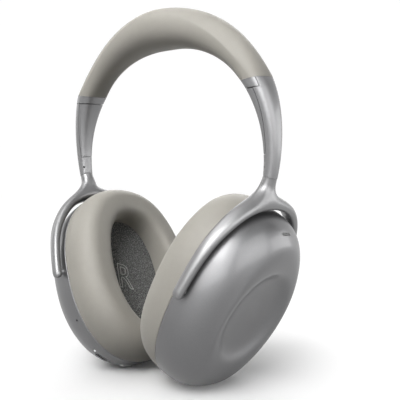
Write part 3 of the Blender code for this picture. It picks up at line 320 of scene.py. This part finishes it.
def pad_section(thick, wide, share):
    """A superellipse cut by a low dome outside, out = 1.03 - drop |across|^2.3, with the ridge between them
    smoothed along the section. Towards the ends the dome drops further, and the section turns into the arm's
    superellipse."""
    turn = np.linspace(0, 2 * np.pi, 200, endpoint=False)
    c, s = np.cos(turn), np.sin(turn)
    across = signed_power(s, 2 / pad_fullness)
    tube = np.where(c > 0, 1.15, 1.0) * signed_power(c, 2 / pad_fullness)
    drop = 0.45 + 0.75 * share[:, None]
    out = np.minimum(tube, 1.03 - drop * np.abs(across) ** 2.3)
    reach = np.arange(-12, 13)
    soft = np.exp(-(reach / 3.2) ** 2)
    soft /= soft.sum()
    out = sum(np.roll(out, k, axis=1) * w for k, w in zip(reach, soft))
    across = sum(np.roll(across, k) * w for k, w in zip(reach, soft))
    across = across / across.max()
    end = np.clip((share - 0.6) / 0.4, 0, 1)[:, None] ** 2
    out = out + (signed_power(c, 2 / arm_fullness) - out) * end
    across = across + (signed_power(s, 2 / arm_fullness) - across) * end
    return thick[:, None] * out, wide[:, None] * across


taupe_leatherette = leatherette("taupe_leatherette", (0.335, 0.318, 0.282), (0.385, 0.367, 0.328), 0.00008)
pad_end = arch_angle(pad_end_rise)
angle = np.linspace(pad_end, np.pi - pad_end, 260)
share = np.abs(np.pi / 2 - angle) / (np.pi / 2 - pad_end)
tuck = tuck_depth * np.exp(-((1 - share) / tuck_share) ** 2)
half_thick = end_thick + (middle_thick - end_thick) * (1 - share ** 1.3) - tuck
half_wide = end_wide + (middle_wide - end_wide) * (1 - share) ** 2 * (1 + 2 * share * (1 - share) ** 3) - tuck
rake = seam_rake * np.maximum(0, 1 - (1 - share) / raked_share) ** 2 * np.sign(np.pi / 2 - angle)
pad = along_arch(angle, *pad_section(half_thick, half_wide, share), rake)
headband_cover = surface("headband_cover", pad, taupe_leatherette, sharp=60)
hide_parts("headband_pad")
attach(headband_cover, "headband")


# Arms and collars: silver metal, blasted to a fine satin and clear coated. The arm is a bar at the foot, whose
# outer skin runs up as a strip to the pad. A cover is let in on the inside, and a collar closes the band's end.
satin, given, gives = group("satin_blast", [("Grains per metre", 1700.0)], ["Height", "Tone"])
where = object_place(satin)
grit = noise(satin, where, given.outputs["Grains per metre"], 4.0, 0.7)
smear = math_node(satin, "MULTIPLY", noise(satin, where, 60.0, 3.0), 0.3)
satin.links.new(grit, gives.inputs["Height"])
satin.links.new(math_node(satin, "MULTIPLY_ADD", grit, 0.7, smear), gives.inputs["Tone"])


def silver(name, dark, light, smooth, dull, coat, coat_dull=0.12):
    """Blasted metal: fine grains in colour, roughness and bump, under a clear coat."""
    material, tree = new_material(name)
    blast = put(tree, "ShaderNodeGroup", {"node_tree": satin}).outputs
    bump = put(tree, "ShaderNodeBump", Height=blast["Height"], Strength=0.12, Distance=0.00004)
    shade(tree, Base_Color=two_tone(tree, blast["Tone"], dark, light),
          Roughness=map_range(tree, blast["Tone"], smooth, dull, 0.25, 0.75), Normal=bump.outputs[0],
          Metallic=1.0, Coat_Weight=coat, Coat_Roughness=coat_dull)
    return material


arm_silver = silver("arm_silver", (0.155, 0.155, 0.158), (0.212, 0.212, 0.215), 0.46, 0.54, 0.3)
seam_rise, cover_end, foot_rise = pad_end_rise - 0.0042, -0.0034, -0.0137
strip_top, strip_side, slit, foot_gap = 0.0021, 0.0052, 0.00016, 0.00006
rail_ease, cover_ease, collar_ease, metal_sharp = 0.00009, 0.0002, 0.0001, 38.0
screw_rise, screw_radius, screw_depth, screw_clear = -0.0092, 0.0006, 0.0016, 0.003
joints = {row["name"]: row for row in frame["joints"]}
swivel_axis = -np.array(joints["left_fork_swivel"]["axis"])
across_axis = np.cross((0.0, 1.0, 0.0), swivel_axis)
foot_point = arch(arch_angle(np.array([foot_rise])))[0][0]
arm_foot = np.array((foot_point[0], 0.0, band_base + foot_point[1]))


def arm_size(rise):
    """Half thickness falls evenly to the foot, and half width fast at first, by 1 - (1 - down)^1.7."""
    down = (seam_rise - rise) / (seam_rise - foot_rise)
    return 0.0056 - 0.0025 * down, 0.0076 - 0.00415 * (1 - (1 - down) ** 1.7)


def section(rise, start, end, count):
    """The arm's section, a superellipse, between two angles: rows of offsets out of the arch and along Y."""
    thick, wide = arm_size(rise)
    angle = start[:, None] + (end - start)[:, None] * np.linspace(0, 1, count)
    return (thick[:, None] * signed_power(np.cos(angle), 2 / arm_fullness),
            wide[:, None] * signed_power(np.sin(angle), 2 / arm_fullness))


def arm_height(rise):
    """0 at the cover's foot and below it, and 1 at the seam under the collar and above it."""
    return np.clip((rise - cover_end) / (seam_rise - cover_end), 0, 1)


def strip_angle(rise, gap):
    """The section's angle at the inner face of the strip, or at a face that lies a gap inside of it."""
    thick = arm_size(rise)[0]
    strip = np.where(rise > seam_rise - 0.75 * slit, strip_top, strip_side)
    return np.arccos(signed_power((thick - strip - gap) / thick, arm_fullness / 2))


def along_arm(rises, out, across):
    """Rows of the arm at heights, square to the arch at the foot and raked towards the collar by the square."""
    return along_arch(arch_angle(rises), out, across, seam_rake * arm_height(rises) ** 2)


def inner_bar(rises):
    """What is left of the arm's section inside of the strip, closed by a flat face under the strip."""
    turn = strip_angle(rises, 1.5 * slit)
    out, across = section(rises, turn, 2 * np.pi - turn, 70)
    blend = np.linspace(0, 1, 16)[1:-1]
    out = np.concatenate((out, np.repeat(out[:, -1:], len(blend), axis=1)), axis=1)
    across = np.concatenate((across, across[:, -1:] + (across[:, :1] - across[:, -1:]) * blend), axis=1)
    return along_arm(rises, out, across)


def eased(grid, amount):
    """Adds a row inside each end row, so that the end's edge is rounded by a small amount."""
    low, high = grid[0].mean(axis=0), grid[-1].mean(axis=0)
    down, over = grid[1].mean(axis=0) - low, high - grid[-2].mean(axis=0)
    down, over = down / np.linalg.norm(down), over / np.linalg.norm(over)
    size = np.linalg.norm(grid[0] - low, axis=1).mean()
    first = low + (grid[0] - low) * (1 - amount / size)
    last = high + (grid[-1] - high) * (1 - amount / size)
    body = np.concatenate((grid[:1] + down * amount, grid[1:-1], grid[-1:] - over * amount))
    return np.concatenate((first[None], body, last[None]))


# The rail is the whole section at the foot, and from the cover's foot up the strip, with a flat inner face.
foot_rises = np.delete(np.linspace(foot_rise, cover_end, 26), (1, 2))
strip_rises = np.concatenate((np.linspace(cover_end, seam_rise - 0.8 * slit, 56),
                              np.linspace(seam_rise - 0.7 * slit, pad_end_rise - slit / 4, 14)))
strip_rises[0] += slit / 8
rises = np.concatenate((foot_rises, strip_rises))
is_strip = (np.arange(len(rises)) >= len(foot_rises))[:, None]
turn = strip_angle(rises, 0.0)
outer_out, outer_across = section(rises, -turn, turn, 60)
inner_out, inner_across = section(rises, turn, 2 * np.pi - turn, 61)
flat_across = outer_across[:, -1:] + (outer_across[:, :1] - outer_across[:, -1:]) * np.linspace(0, 1, 61)
inner_out = np.where(is_strip, outer_out[:, -1:], inner_out)[:, 1:-1]
inner_across = np.where(is_strip, flat_across, inner_across)[:, 1:-1]
rail_out = np.concatenate((outer_out, inner_out), axis=1)
rail_across = np.concatenate((outer_across, inner_across), axis=1)
rail = along_arm(rises, rail_out, rail_across)
rail[0] = (arm_foot + foot_gap * swivel_axis + rail_out[0, :, None] * across_axis
           + rail_across[0, :, None] * (0, 1, 0))
rail = eased(rail, rail_ease)
cover = eased(inner_bar(np.linspace(cover_end + slit, seam_rise - slit, 60)), cover_ease)
collar = eased(inner_bar(np.linspace(seam_rise + slit / 2, pad_end_rise - slit / 4, 14)), collar_ease)
# The screw's hole goes in aslant, halfway between the head's side and the front, towards the swivel's axis.
screw_point, screw_normal = (row[0] for row in arch(arch_angle(np.array([screw_rise]))))
screw_thick, screw_wide = arm_size(screw_rise)
diagonal = np.sqrt(0.5)
screw_out = np.array((-screw_normal[0] * diagonal, -diagonal, -screw_normal[1] * diagonal))
screw_reach = ((diagonal / screw_thick) ** arm_fullness
               + (diagonal / screw_wide) ** arm_fullness) ** (-1 / arm_fullness)
screw_level = np.array((screw_point[0], 0, band_base + screw_point[1])) - arm_foot
screw_face = arm_foot + swivel_axis * (screw_level @ swivel_axis) + screw_out * screw_reach
screw_along = np.cross(screw_out, swivel_axis)
screw_along /= np.linalg.norm(screw_along)
turn = np.linspace(0, 2 * np.pi, 40, endpoint=False)[:, None]
screw_ring = screw_radius * (np.cos(turn) * screw_along + np.sin(turn) * np.cross(screw_out, screw_along))
screw_hole = screw_face + screw_ring + np.array((-screw_depth, screw_clear))[:, None, None] * screw_out


def drilled(piece, cutters):
    """Cuts closed forms out of a piece, keeps the result in its mesh and removes the cutters."""
    for cutter in cutters:
        change = piece.modifiers.new("hole", "BOOLEAN")
        change.object = cutter
        change.solver = "EXACT"
    graph = bpy.context.evaluated_depsgraph_get()
    cut = bpy.data.meshes.new_from_object(piece.evaluated_get(graph))
    piece.modifiers.clear()
    piece.data = cut
    cut.set_sharp_from_angle(angle=np.radians(metal_sharp))
    for cutter in cutters:
        bpy.data.objects.remove(cutter)


for name in ("left", "right"):
    mirrored = name == "right"
    arm_rail = surface(f"{name}_arm_bar", rail, arm_silver, metal_sharp, mirrored)
    drilled(arm_rail, [surface(f"{name}_screw_cutter", screw_hole, arm_silver, metal_sharp, mirrored)])
    arm_cover = surface(f"{name}_arm_inlay", cover, arm_silver, metal_sharp, mirrored)
    arm_collar = surface(f"{name}_band_collar", collar, arm_silver, metal_sharp, mirrored)
    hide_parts(f"{name}_arm_rail")
    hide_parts(f"{name}_arm_cover")
    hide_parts(f"{name}_collar")
    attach(arm_rail, f"{name}_arm")
    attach(arm_cover, f"{name}_arm")
    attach(arm_collar, "headband")


# Ear cups: deep drawn metal shells with a round dish pressed into the dome, in the same satin silver, a little
# darker and smoother. The shell is held to the baffle from inside, so that its outside has no fixings.
pivot = np.array(joints["left_cup_tilt"]["pos_m"])
lean, cant = np.radians((26.5, 8.0))
cup_length, cup_width, cup_oval = 0.0985, 0.077, 2.25
pivot_above, pivot_from_rim = 0.0105, 0.0043
dome_depth, dome_fullness, shell_wall = 0.0292, 2.75, 0.0016
dish_length, dish_width, dish_depth, lip = 0.0524, 0.0512, 0.0058, 0.0014
lip_share = (dish_width / 2 + lip) / (cup_width / 2)
lip_height = dome_depth * (1 - lip_share ** dome_fullness) ** (1 / dome_fullness)


def oval(angle, length, width, fullness=cup_oval):
    """A superellipse in the cup's plane, canted so that its top leans to the rear."""
    y = width / 2 * signed_power(np.cos(angle), 2 / fullness)
    z = length / 2 * signed_power(np.sin(angle), 2 / fullness)
    return y * np.cos(cant) + z * np.sin(cant), z * np.cos(cant) - y * np.sin(cant)


def hang(height, y, z):
    """Heights over the rim and places in the cup's plane, turned by the lean and set at the left cup's pivot."""
    x = height - pivot_from_rim
    z = z - pivot_above
    return np.stack((pivot[0] + x * np.cos(lean) + z * np.sin(lean), y + 0 * x,
                     pivot[2] - x * np.sin(lean) + z * np.cos(lean)), -1)


def dome_share(height):
    """How much of the rim's size the dome keeps at a height: (1 - (height / depth)^p)^(1 / p)."""
    return (1 - (height / dome_depth) ** dome_fullness) ** (1 / dome_fullness)


def spline(stations, count):
    """A natural cubic spline through stations, by the length of the chords, sampled evenly."""
    knots = np.concatenate(([0.0], np.cumsum(np.linalg.norm(np.diff(stations, axis=0), axis=1))))
    step = np.diff(knots)
    rise = np.diff(stations, axis=0) / step[:, None]
    system = np.eye(len(knots))
    inner = np.arange(1, len(knots) - 1)
    system[inner, inner - 1], system[inner, inner + 1] = step[:-1], step[1:]
    system[inner, inner] = 2 * (step[:-1] + step[1:])
    bend = np.zeros_like(stations)
    bend[1:-1] = 6 * np.diff(rise, axis=0)
    bend = np.linalg.solve(system, bend)
    at = np.linspace(0, knots[-1], count)
    i = np.clip(np.searchsorted(knots, at) - 1, 0, len(step) - 1)
    h, a, b = step[i][:, None], (knots[i + 1] - at)[:, None], (at - knots[i])[:, None]
    return ((bend[i] * a ** 3 + bend[i + 1] * b ** 3) / (6 * h) + (stations[i] / h - bend[i] * h / 6) * a
            + (stations[i + 1] / h - bend[i + 1] * h / 6) * b)


# The profile runs from the dish's middle over the lip and down the dome to the rim, and back up inside.
heights = lip_height * np.array((0.03, 0.25, 0.47, 0.65, 0.80, 0.92))
wall = np.stack((heights, cup_length * dome_share(heights), cup_width * dome_share(heights)), -1)
crest = np.array(((lip_height - 0.1 * lip, dish_length + 2.6 * lip, dish_width + 1.6 * lip),))
shares = np.array((0.98, 0.84, 0.62, 0.34, 0.0))
dish_floor = lip_height - dish_depth * (1 - shares ** 3.2) - 0.1 * lip
dish = np.stack((dish_floor, dish_length * shares, dish_width * shares), -1)
profile = spline(np.concatenate((wall, crest, dish)), 120)
rim_rise, rim_inset = np.array((0.0, 0.00007, 0.0002)), np.array((0.0006, 0.0003, 0.0001))
rim = np.stack((rim_rise, cup_length - rim_inset, cup_width - rim_inset), -1)
profile = np.concatenate((rim, profile[:-1]))
inside = profile[::-4] - shell_wall * np.array((1, 2, 2))
inside = inside[inside[:, 1] > 0.004]
inside[:, 0] = np.maximum(inside[:, 0], 0.0)
profile = np.concatenate((profile[::-1], inside[::-1]))
around = np.linspace(0, 2 * np.pi, 240, endpoint=False)
rounder = np.clip((profile[:, 2:3] - dish_width) / (cup_width - dish_width), 0, 1)
y, z = oval(around[None], profile[:, 1:2], profile[:, 2:3], 2 + (cup_oval - 2) * rounder)
shell = hang(profile[:, :1] + 0 * y, y, z)
shell_silver = silver("shell_silver", (0.115, 0.115, 0.118), (0.172, 0.172, 0.175), 0.42, 0.52, 0.35, 0.16)


def wall_frame(angle, height):
    """A place on the left dome: its point, the way along its ring, the way up the wall, and out of the wall."""
    def place(turn, rise):
        size = dome_share(rise)
        return hang(np.array(rise), *oval(np.array(turn), cup_length * size, cup_width * size))
    point = place(angle, height)
    along = place(angle + 1e-4, height) - point
    rise = place(angle, height + 1e-6) - point
    along /= np.linalg.norm(along)
    out = np.cross(along, rise)
    out *= np.sign(out @ (point - pivot)) / np.linalg.norm(out)
    return point, along, np.cross(out, along), out


def pill_rows(spot, length, width, levels, grow=0.0):
    """A round-ended outline on a wall, repeated at levels out of it, each grown by an amount."""
    point, along, rise, out = spot
    turn = np.linspace(0, 2 * np.pi, 64, endpoint=False)
    radius = width / 2 + np.broadcast_to(grow, len(levels))[:, None]
    x = np.sign(np.cos(turn)) * (length - width) / 2 + radius * np.cos(turn)
    z = radius * np.sin(turn)
    return point + x[..., None] * along + z[..., None] * rise + np.array(levels)[:, None, None] * out


slit_spot = wall_frame(np.radians(90.0), 0.0182)
charge_spot = wall_frame(np.radians(-120.0), 0.0090)
light_spot = wall_frame(np.radians(-130.0), 0.0074)
voice_spot = wall_frame(np.radians(-156.0), 0.0043)
power_spot = wall_frame(np.radians(-97.0), 0.0088)
mode_spot = wall_frame(np.radians(-58.0), 0.0088)
# A round hole is a round-ended outline whose straight sides are a hair long.
through, hair = (-0.004, 0.004), 1e-7
holes = {"left": [(slit_spot, 0.0078, 0.0015), (mode_spot, 0.0086, 0.0034)],
         "right": [(slit_spot, 0.0078, 0.0015), (charge_spot, 0.0096, 0.0038),
                   (light_spot, 0.0018, 0.0018 - hair), (voice_spot, 0.0012, 0.0012 - hair),
                   (power_spot, 0.0086, 0.0034)]}
for name in ("left", "right"):
    mirrored = name == "right"
    cup_shell = surface(f"{name}_dome", shell, shell_silver, metal_sharp, mirrored)
    cutters = [surface(f"{name}_cutter_{i}", pill_rows(*hole, through), shell_silver, metal_sharp, mirrored)
               for i, hole in enumerate(holes[name])]
    drilled(cup_shell, cutters)
    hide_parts(f"{name}_cup_shell")
    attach(cup_shell, f"{name}_cup")


# Forks: cast wishbones, polished a little brighter than the shells. Two round prongs follow the cup's edge to
# the pivots, and run together over the top into a neck under the arm.
fork_silver = silver("fork_silver", (0.155, 0.155, 0.157), (0.215, 0.215, 0.217), 0.42, 0.50, 0.25)
prong_gap, neck_length, neck_base, overrun = 0.0011, 0.0098, 0.0125, 0.0027
neck_thick, neck_wide, prong_crease = 0.0031, 0.00345, 0.06


def fork_section(angle):
    """Half thickness and half width: slim at the tips, and full at the top of the arch by the sine squared."""
    share = np.maximum(0, np.sin(angle)) ** 2
    return 0.0021 + 0.0008 * share, 0.0027 + 0.0022 * share


def fork_line(angle):
    """The middle line of the fork round the cup, in the cup's plane from the pivot: the cup's oval, larger by
    the gap and the half thickness."""
    out = prong_gap + fork_section(angle)[0]
    y, z = oval(angle, cup_length + 2 * out, cup_width + 2 * out)
    return np.stack((y, z - pivot_above), -1)


def angle_at(axis, value, start, end):
    """The angle, between two others, where the fork's middle line has a value, by even halving."""
    way = np.sign(fork_line(np.array(start))[axis] - value)
    for _ in range(50):
        middle = (start + end) / 2
        if np.sign(fork_line(np.array(middle))[axis] - value) == way:
            start = middle
        else:
            end = middle
    return middle


front_pivot = angle_at(1, 0, 0.6 * np.pi, 1.3 * np.pi)
rear_pivot = angle_at(1, 0, 0.4 * np.pi, -0.3 * np.pi)
crown = angle_at(0, 0, 0.3 * np.pi, 0.7 * np.pi)
front_end = angle_at(1, -overrun, front_pivot, 1.4 * np.pi)
rear_end = angle_at(1, -overrun, rear_pivot, -0.4 * np.pi)
front_neck = angle_at(0, -0.7 * neck_base, crown, 0.8 * np.pi)
rear_neck = angle_at(0, neck_base / 2, crown, 0.2 * np.pi)
front_tip = front_end + 0.8 * (front_pivot - front_end)
rear_tip = rear_end + 0.8 * (rear_pivot - rear_end)
angles = np.concatenate(([front_end, front_tip], np.linspace(2 * front_pivot - front_end, front_neck, 5),
                         np.linspace(rear_neck, 2 * rear_pivot - rear_end, 5), [rear_tip, rear_end]))
# Smoothing pulls the cage in. The centres are solved so that the smoothed line keeps to the middle line, and the
# sections are swollen by what smoothing takes off.
count = len(angles)
weights = np.eye(count) * 4 / 6 + (np.eye(count, k=1) + np.eye(count, k=-1)) / 6
weights[0, 0] = weights[-1, -1] = 5 / 6
centres = np.linalg.solve(weights, fork_line(angles))
cage_swell = 24 / 22
steps = fork_line(angles + 0.01) - fork_line(angles - 0.01)
outward = np.stack((steps[:, 1], -steps[:, 0]), -1) / np.linalg.norm(steps, axis=1, keepdims=True)
thick, wide = (half * cage_swell for half in fork_section(angles))
corner_out, corner_wide = np.array((1, 1, -1, -1)), np.array((1, -1, -1, 1))
corner = centres[:, None] + outward[:, None] * (thick[:, None] * corner_out)[..., None]
prong_cage = hang(wide[:, None] * corner_wide + pivot_from_rim, corner[..., 0], corner[..., 1] + pivot_above)
levels = np.array((-0.58, -0.26, -0.08, -foot_gap / neck_length))
grow = np.array((1.16, 1.06, 1.03, 1.03))
flare = np.array((1.25, 1.08, 1.03, 1.03))
neck_x = np.array((1, -1, -1, 1)) * neck_thick * cage_swell
neck_y = np.array((-1, -1, 1, 1)) * neck_wide * cage_swell
neck_cage = (arm_foot + (levels * neck_length)[:, None, None] * swivel_axis
             + (grow[:, None] * neck_x)[..., None] * across_axis
             + (flare[:, None] * neck_y)[..., None] * (0, 1, 0))
cage = np.concatenate((prong_cage.reshape(-1, 3), neck_cage.reshape(-1, 3)))
middle = count // 2 - 1
i, k = np.meshgrid(np.arange(count - 1), np.arange(4), indexing="ij")
tube = np.stack((4 * i + k, 4 * i + (k + 1) % 4, 4 * i + 4 + (k + 1) % 4, 4 * i + 4 + k), -1).reshape(-1, 4)
tube = tube[~((i == middle) & (k == 0)).reshape(-1)]
base = 4 * np.array((middle, middle, middle + 1, middle + 1)) + np.array((0, 1, 1, 0))
rings = np.concatenate((base[None], 4 * count + np.arange(16).reshape(4, 4)))
following = np.roll(rings, -1, axis=1)
neck = np.stack((rings[:-1], following[:-1], following[1:], rings[1:]), -1).reshape(-1, 4)
ends = np.array(((0, 1, 2, 3), tuple(4 * count - 4 + np.arange(4)), tuple(rings[-1])))
cage_faces = np.concatenate((tube, neck, ends)).tolist()
for name in ("left", "right"):
    mesh = bpy.data.meshes.new(f"{name}_wishbone")
    mesh.from_pydata((cage * (1 if name == "left" else -1, 1, 1)).tolist(), [], cage_faces)
    wishbone = finished(f"{name}_wishbone", mesh, fork_silver, 180)
    edge_ends = np.empty(2 * len(mesh.edges), np.int32)
    mesh.edges.foreach_get("vertices", edge_ends)
    low, high = edge_ends.reshape(-1, 2).min(axis=1), edge_ends.reshape(-1, 2).max(axis=1)
    long_edge = (high - low == 4) & (high < 4 * count)
    crease = np.where(low >= len(cage) - 4, 1.0, prong_crease * long_edge)
    mesh.attributes.new("crease_edge", "FLOAT", "EDGE").data.foreach_set("value", crease.astype(np.float32))
    smooth = wishbone.modifiers.new("smooth", "SUBSURF")
    smooth.levels = smooth.render_levels = 4
    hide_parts(f"{name}_yoke")
    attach(wishbone, f"{name}_fork")


# Ear cushions: slow foam under one piece of taupe leatherette, drawn over a plastic ring at the back, with a
# round crown, fuller sides and a steep wall round the ear.
cushion_top, cushion_depth, ear_length, ear_width = -0.0027, 0.0162, 0.0645, 0.0400
ear_back, ear_raise, sweep, draw = 0.0016, 0.0004, 0.0018, 0.0016
side_fill, wall_sink, seam_gap, side_inset, seat_inset = 0.0028, 0.007, 0.0001, 0.0002, 0.0036
outer_length, outer_width = cup_length - side_inset, cup_width - side_inset
# Rows from the outer edge over the crown to the ear: height, length, width, shifts to the rear and up, and how
# far the row stands off the back.
section_angle = np.linspace(0, np.pi, 110)
outer_half = section_angle < np.pi / 2
full = np.where(outer_half, 0.8, 0.52)
inward = 0.5 - 0.5 * signed_power(np.cos(section_angle), full)
depth = np.abs(np.sin(section_angle)) ** full
drawn = draw * depth * (1 - inward) - side_fill * depth * (1 - depth) * outer_half
length = outer_length + (ear_length - outer_length) * inward - 2 * drawn
width = outer_width + (ear_width - outer_width) * inward - 2 * drawn
raised = ear_raise * inward + depth * (sweep - wall_sink * np.maximum(0, inward - 0.5))
rows = np.stack((cushion_top - cushion_depth * depth, length, width, ear_back * inward, raised, depth), -1)
skirt = np.array([(-seam_gap - drop, outer_length - 2 * tuck, outer_width - 2 * tuck, 0, 0, 0)
                  for drop, tuck in ((0, 0.0003), (0.0001, 0.0001), (0.0003, 0.00003), (0.0008, 0.0))])
seat = np.array([(height, cup_length - seat_inset, cup_width - seat_inset, 0, 0, 0)
                 for height in (cushion_top, -seam_gap)])
rows = np.concatenate((skirt, rows, seat))
y, z = oval(around[None], rows[:, 1:2], rows[:, 2:3])
unevenness = 0.00018 * np.sin(3 * around + 1.1) + 0.00012 * np.sin(7 * around + 0.4)
cushion = hang(rows[:, :1] - unevenness * rows[:, 5:] ** 2, y + rows[:, 3:4], z + rows[:, 4:5])


def ring_surface(name, grid, material, mirrored):
    """A surface closed both round its rows and from its last row to its first."""
    rows, cols, _ = grid.shape
    i, j = np.meshgrid(np.arange(rows), np.arange(cols), indexing="ij")
    m, k = (i + 1) % rows, (j + 1) % cols
    quads = np.stack((i * cols + j, m * cols + j, m * cols + k, i * cols + k), -1).reshape(-1, 4)
    mesh = bpy.data.meshes.new(name)
    mesh.from_pydata((grid.reshape(-1, 3) * (-1 if mirrored else 1, 1, 1)).tolist(), [], quads.tolist())
    return finished(name, mesh, material, 60)


for name in ("left", "right"):
    ear_pad = ring_surface(f"{name}_ear_pad", cushion, taupe_leatherette, name == "right")
    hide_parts(f"{name}_ear_cushion")
    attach(ear_pad, f"{name}_cup")


# Liners: dark speckled mesh cloth, stretched over the driver's opening and held under the cushion's inner edge.
# The side's letter is printed on it as a plain white outline.
cloth, tree = new_material("liner_cloth")
where = object_place(tree)
speck = put(tree, "ShaderNodeTexVoronoi", {"feature": "F1"}, Vector=where, Scale=1500.0, Randomness=1.0)
fleck = map_range(tree, noise(tree, where, 1650.0, 3.0, 0.75), 0.0, 1.0, 0.46, 0.68)
bump = put(tree, "ShaderNodeBump", Height=speck.outputs["Distance"], Strength=0.6, Distance=0.0002)
shade(tree, Base_Color=two_tone(tree, fleck, (0.085, 0.088, 0.088), (0.44, 0.44, 0.43)), Roughness=0.9,
      Normal=bump.outputs[0], Specular_IOR_Level=0.2, Sheen_Weight=0.3, Sheen_Roughness=0.4)
letter_white, tree = new_material("letter_white")
worn = noise(tree, object_place(tree), 2500.0, 2.0)
shade(tree, Base_Color=two_tone(tree, worn, (0.62, 0.62, 0.60), (0.85, 0.85, 0.83)), Roughness=0.7)
liner_thick, liner_bulge, liner_inset = 0.0008, 0.0004, 0.0006
letter_size, letter_stroke, letter_narrow, letter_lean = 0.0205, 0.0002, 0.86, np.radians(-17.0)
letter_forward, letter_low, letter_lift = 0.0038, 0.0018, 0.0006
sizes = np.array((0.02, 0.3, 0.6, 0.85, 0.97, 1.0, 1.0))
liner_length, liner_width = ear_length - liner_inset, ear_width - liner_inset
y, z = oval(around[None], liner_length * sizes[:, None], liner_width * sizes[:, None])
bulge = liner_bulge * (1 - sizes ** 2)
bulge[-1] = -liner_thick
liner = hang(cushion_top - liner_thick + 0 * y - bulge[:, None], y + ear_back, z + ear_raise)
for name, letter in (("left", "L"), ("right", "R")):
    mirrored = name == "right"
    ear_cloth = surface(f"{name}_ear_cloth", liner, cloth, 50, mirrored)
    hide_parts(f"{name}_liner")
    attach(ear_cloth, f"{name}_cup")
    curve = bpy.data.curves.new(f"{name}_letter", "FONT")
    curve.body = letter
    curve.size = letter_size
    curve.fill_mode = "NONE"
    curve.bevel_depth = letter_stroke
    curve.bevel_resolution = 1
    curve.align_x, curve.align_y = "CENTER", "CENTER"
    text = bpy.data.objects.new(f"{name}_letter_curve", curve)
    bpy.context.scene.collection.objects.link(text)
    mesh = bpy.data.meshes.new_from_object(text.evaluated_get(bpy.context.evaluated_depsgraph_get()))
    bpy.data.objects.remove(text)
    flat = np.empty(3 * len(mesh.vertices))
    mesh.vertices.foreach_get("co", flat)
    across, upward, out = flat.reshape(-1, 3).T
    facing = 1 if mirrored else -1
    turned = letter_lean * facing
    letter_y = facing * (letter_narrow * (across * np.cos(turned) - upward * np.sin(turned))) - letter_forward
    letter_z = across * np.sin(turned) + upward * np.cos(turned) + ear_raise - letter_low
    at = hang(cushion_top - liner_thick - letter_lift - out, letter_y, letter_z)
    mesh.vertices.foreach_set("co", (at * (-1 if mirrored else 1, 1, 1)).ravel())
    mark = finished(f"{name}_letter", mesh, letter_white, 60)
    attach(mark, f"{name}_cup")


# Buttons and microphone slits: bright metal keys that slide in openings of the shell, and a dark punched mesh,
# set from inside a little under the shell's face. The white of the status light's lens is mixed here too.
button_silver = silver("button_silver", (0.30, 0.30, 0.305), (0.42, 0.42, 0.425), 0.25, 0.35, 0.2)
dark_mesh, tree = new_material("dark_mesh")
punched = put(tree, "ShaderNodeTexVoronoi", {"feature": "F1"}, Vector=object_place(tree), Scale=3200.0,
              Randomness=0.1).outputs["Distance"]
bump = put(tree, "ShaderNodeBump", Height=punched, Strength=0.5, Distance=0.0001)
shade(tree, Base_Color=map_range(tree, punched, 0.10, 0.30, 0.2, 0.6), Roughness=0.6, Normal=bump.outputs[0])
lens_white, tree = new_material("lens_white")
cloud = map_range(tree, noise(tree, object_place(tree), 900.0, 2.0), 0.75, 0.9)
shade(tree, Base_Color=cloud, Roughness=0.25, Emission_Color=cloud, Emission_Strength=0.8)
key_length, key_width, slit_length, slit_width = 0.008, 0.0028, 0.0076, 0.0013
key_levels, key_grow = (-0.0030, 0.00035, 0.00048, 0.0005), (0.0, 0.0, -0.0001, -0.00025)
mesh_levels, mesh_grow = (-0.0016, -0.0002, -0.0001), (0.0, 0.0, -0.0001)
for name, spot, mirrored in (("left_mode", mode_spot, False), ("right_power", power_spot, True)):
    key_rows = pill_rows(spot, key_length, key_width, key_levels, key_grow)
    key = surface(f"{name}_key", key_rows, button_silver, metal_sharp, mirrored)
    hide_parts(f"{name}_button")
    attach(key, f"{name}_button")
mesh_rows = pill_rows(slit_spot, slit_length, slit_width, mesh_levels, mesh_grow)
for name in ("left", "right"):
    mesh_insert = surface(f"{name}_slit_mesh", mesh_rows, dark_mesh, metal_sharp, name == "right")
    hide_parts(f"{name}_mic_insert")
    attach(mesh_insert, f"{name}_cup")


# Inside: the pieces behind the shells, cushions and cloth keep their own solids. Steel for what slides, turns
# and holds, black and grey mouldings, a green board and a foil cell.
def plain(name, dark, light, grain, rough, metal):
    """A moulding or a bar: two near colours through a fine noise, with the same noise in roughness and bump."""
    material, tree = new_material(name)
    grains = noise(tree, object_place(tree), grain, 3.0)
    bump = put(tree, "ShaderNodeBump", Height=grains, Strength=0.15, Distance=0.00005)
    shade(tree, Base_Color=two_tone(tree, grains, dark, light), Normal=bump.outputs[0], Metallic=metal,
          Roughness=map_range(tree, grains, rough - 0.06, rough + 0.06))
    return material


steel = plain("plain_steel", (0.42, 0.42, 0.42), (0.55, 0.55, 0.55), 900.0, 0.32, 1.0)
black = plain("black_moulding", (0.012, 0.012, 0.012), (0.030, 0.030, 0.030), 2200.0, 0.55, 0.0)
grey = plain("grey_moulding", (0.24, 0.24, 0.235), (0.34, 0.34, 0.335), 2200.0, 0.5, 0.0)
board = plain("board_green", (0.012, 0.085, 0.040), (0.025, 0.14, 0.07), 500.0, 0.45, 0.0)
foil = plain("cell_foil", (0.30, 0.31, 0.33), (0.42, 0.43, 0.45), 400.0, 0.38, 0.7)
finishes = {"spring": steel, "tongue": steel, "post": steel, "screw": steel, "pin": steel, "magnet": steel,
            "socket": steel, "guide": black, "bush": black, "baffle": black, "diaphragm": black, "ring": black,
            "mic": black, "basket": grey, "board": board, "battery": foil, "light": lens_white}
for name, node in frame["nodes"].items():
    if not node.hide_render:
        look = black if name.endswith("arm_screw") else finishes[name.rsplit("_", 1)[-1]]
        node.material_slots[0].material = look
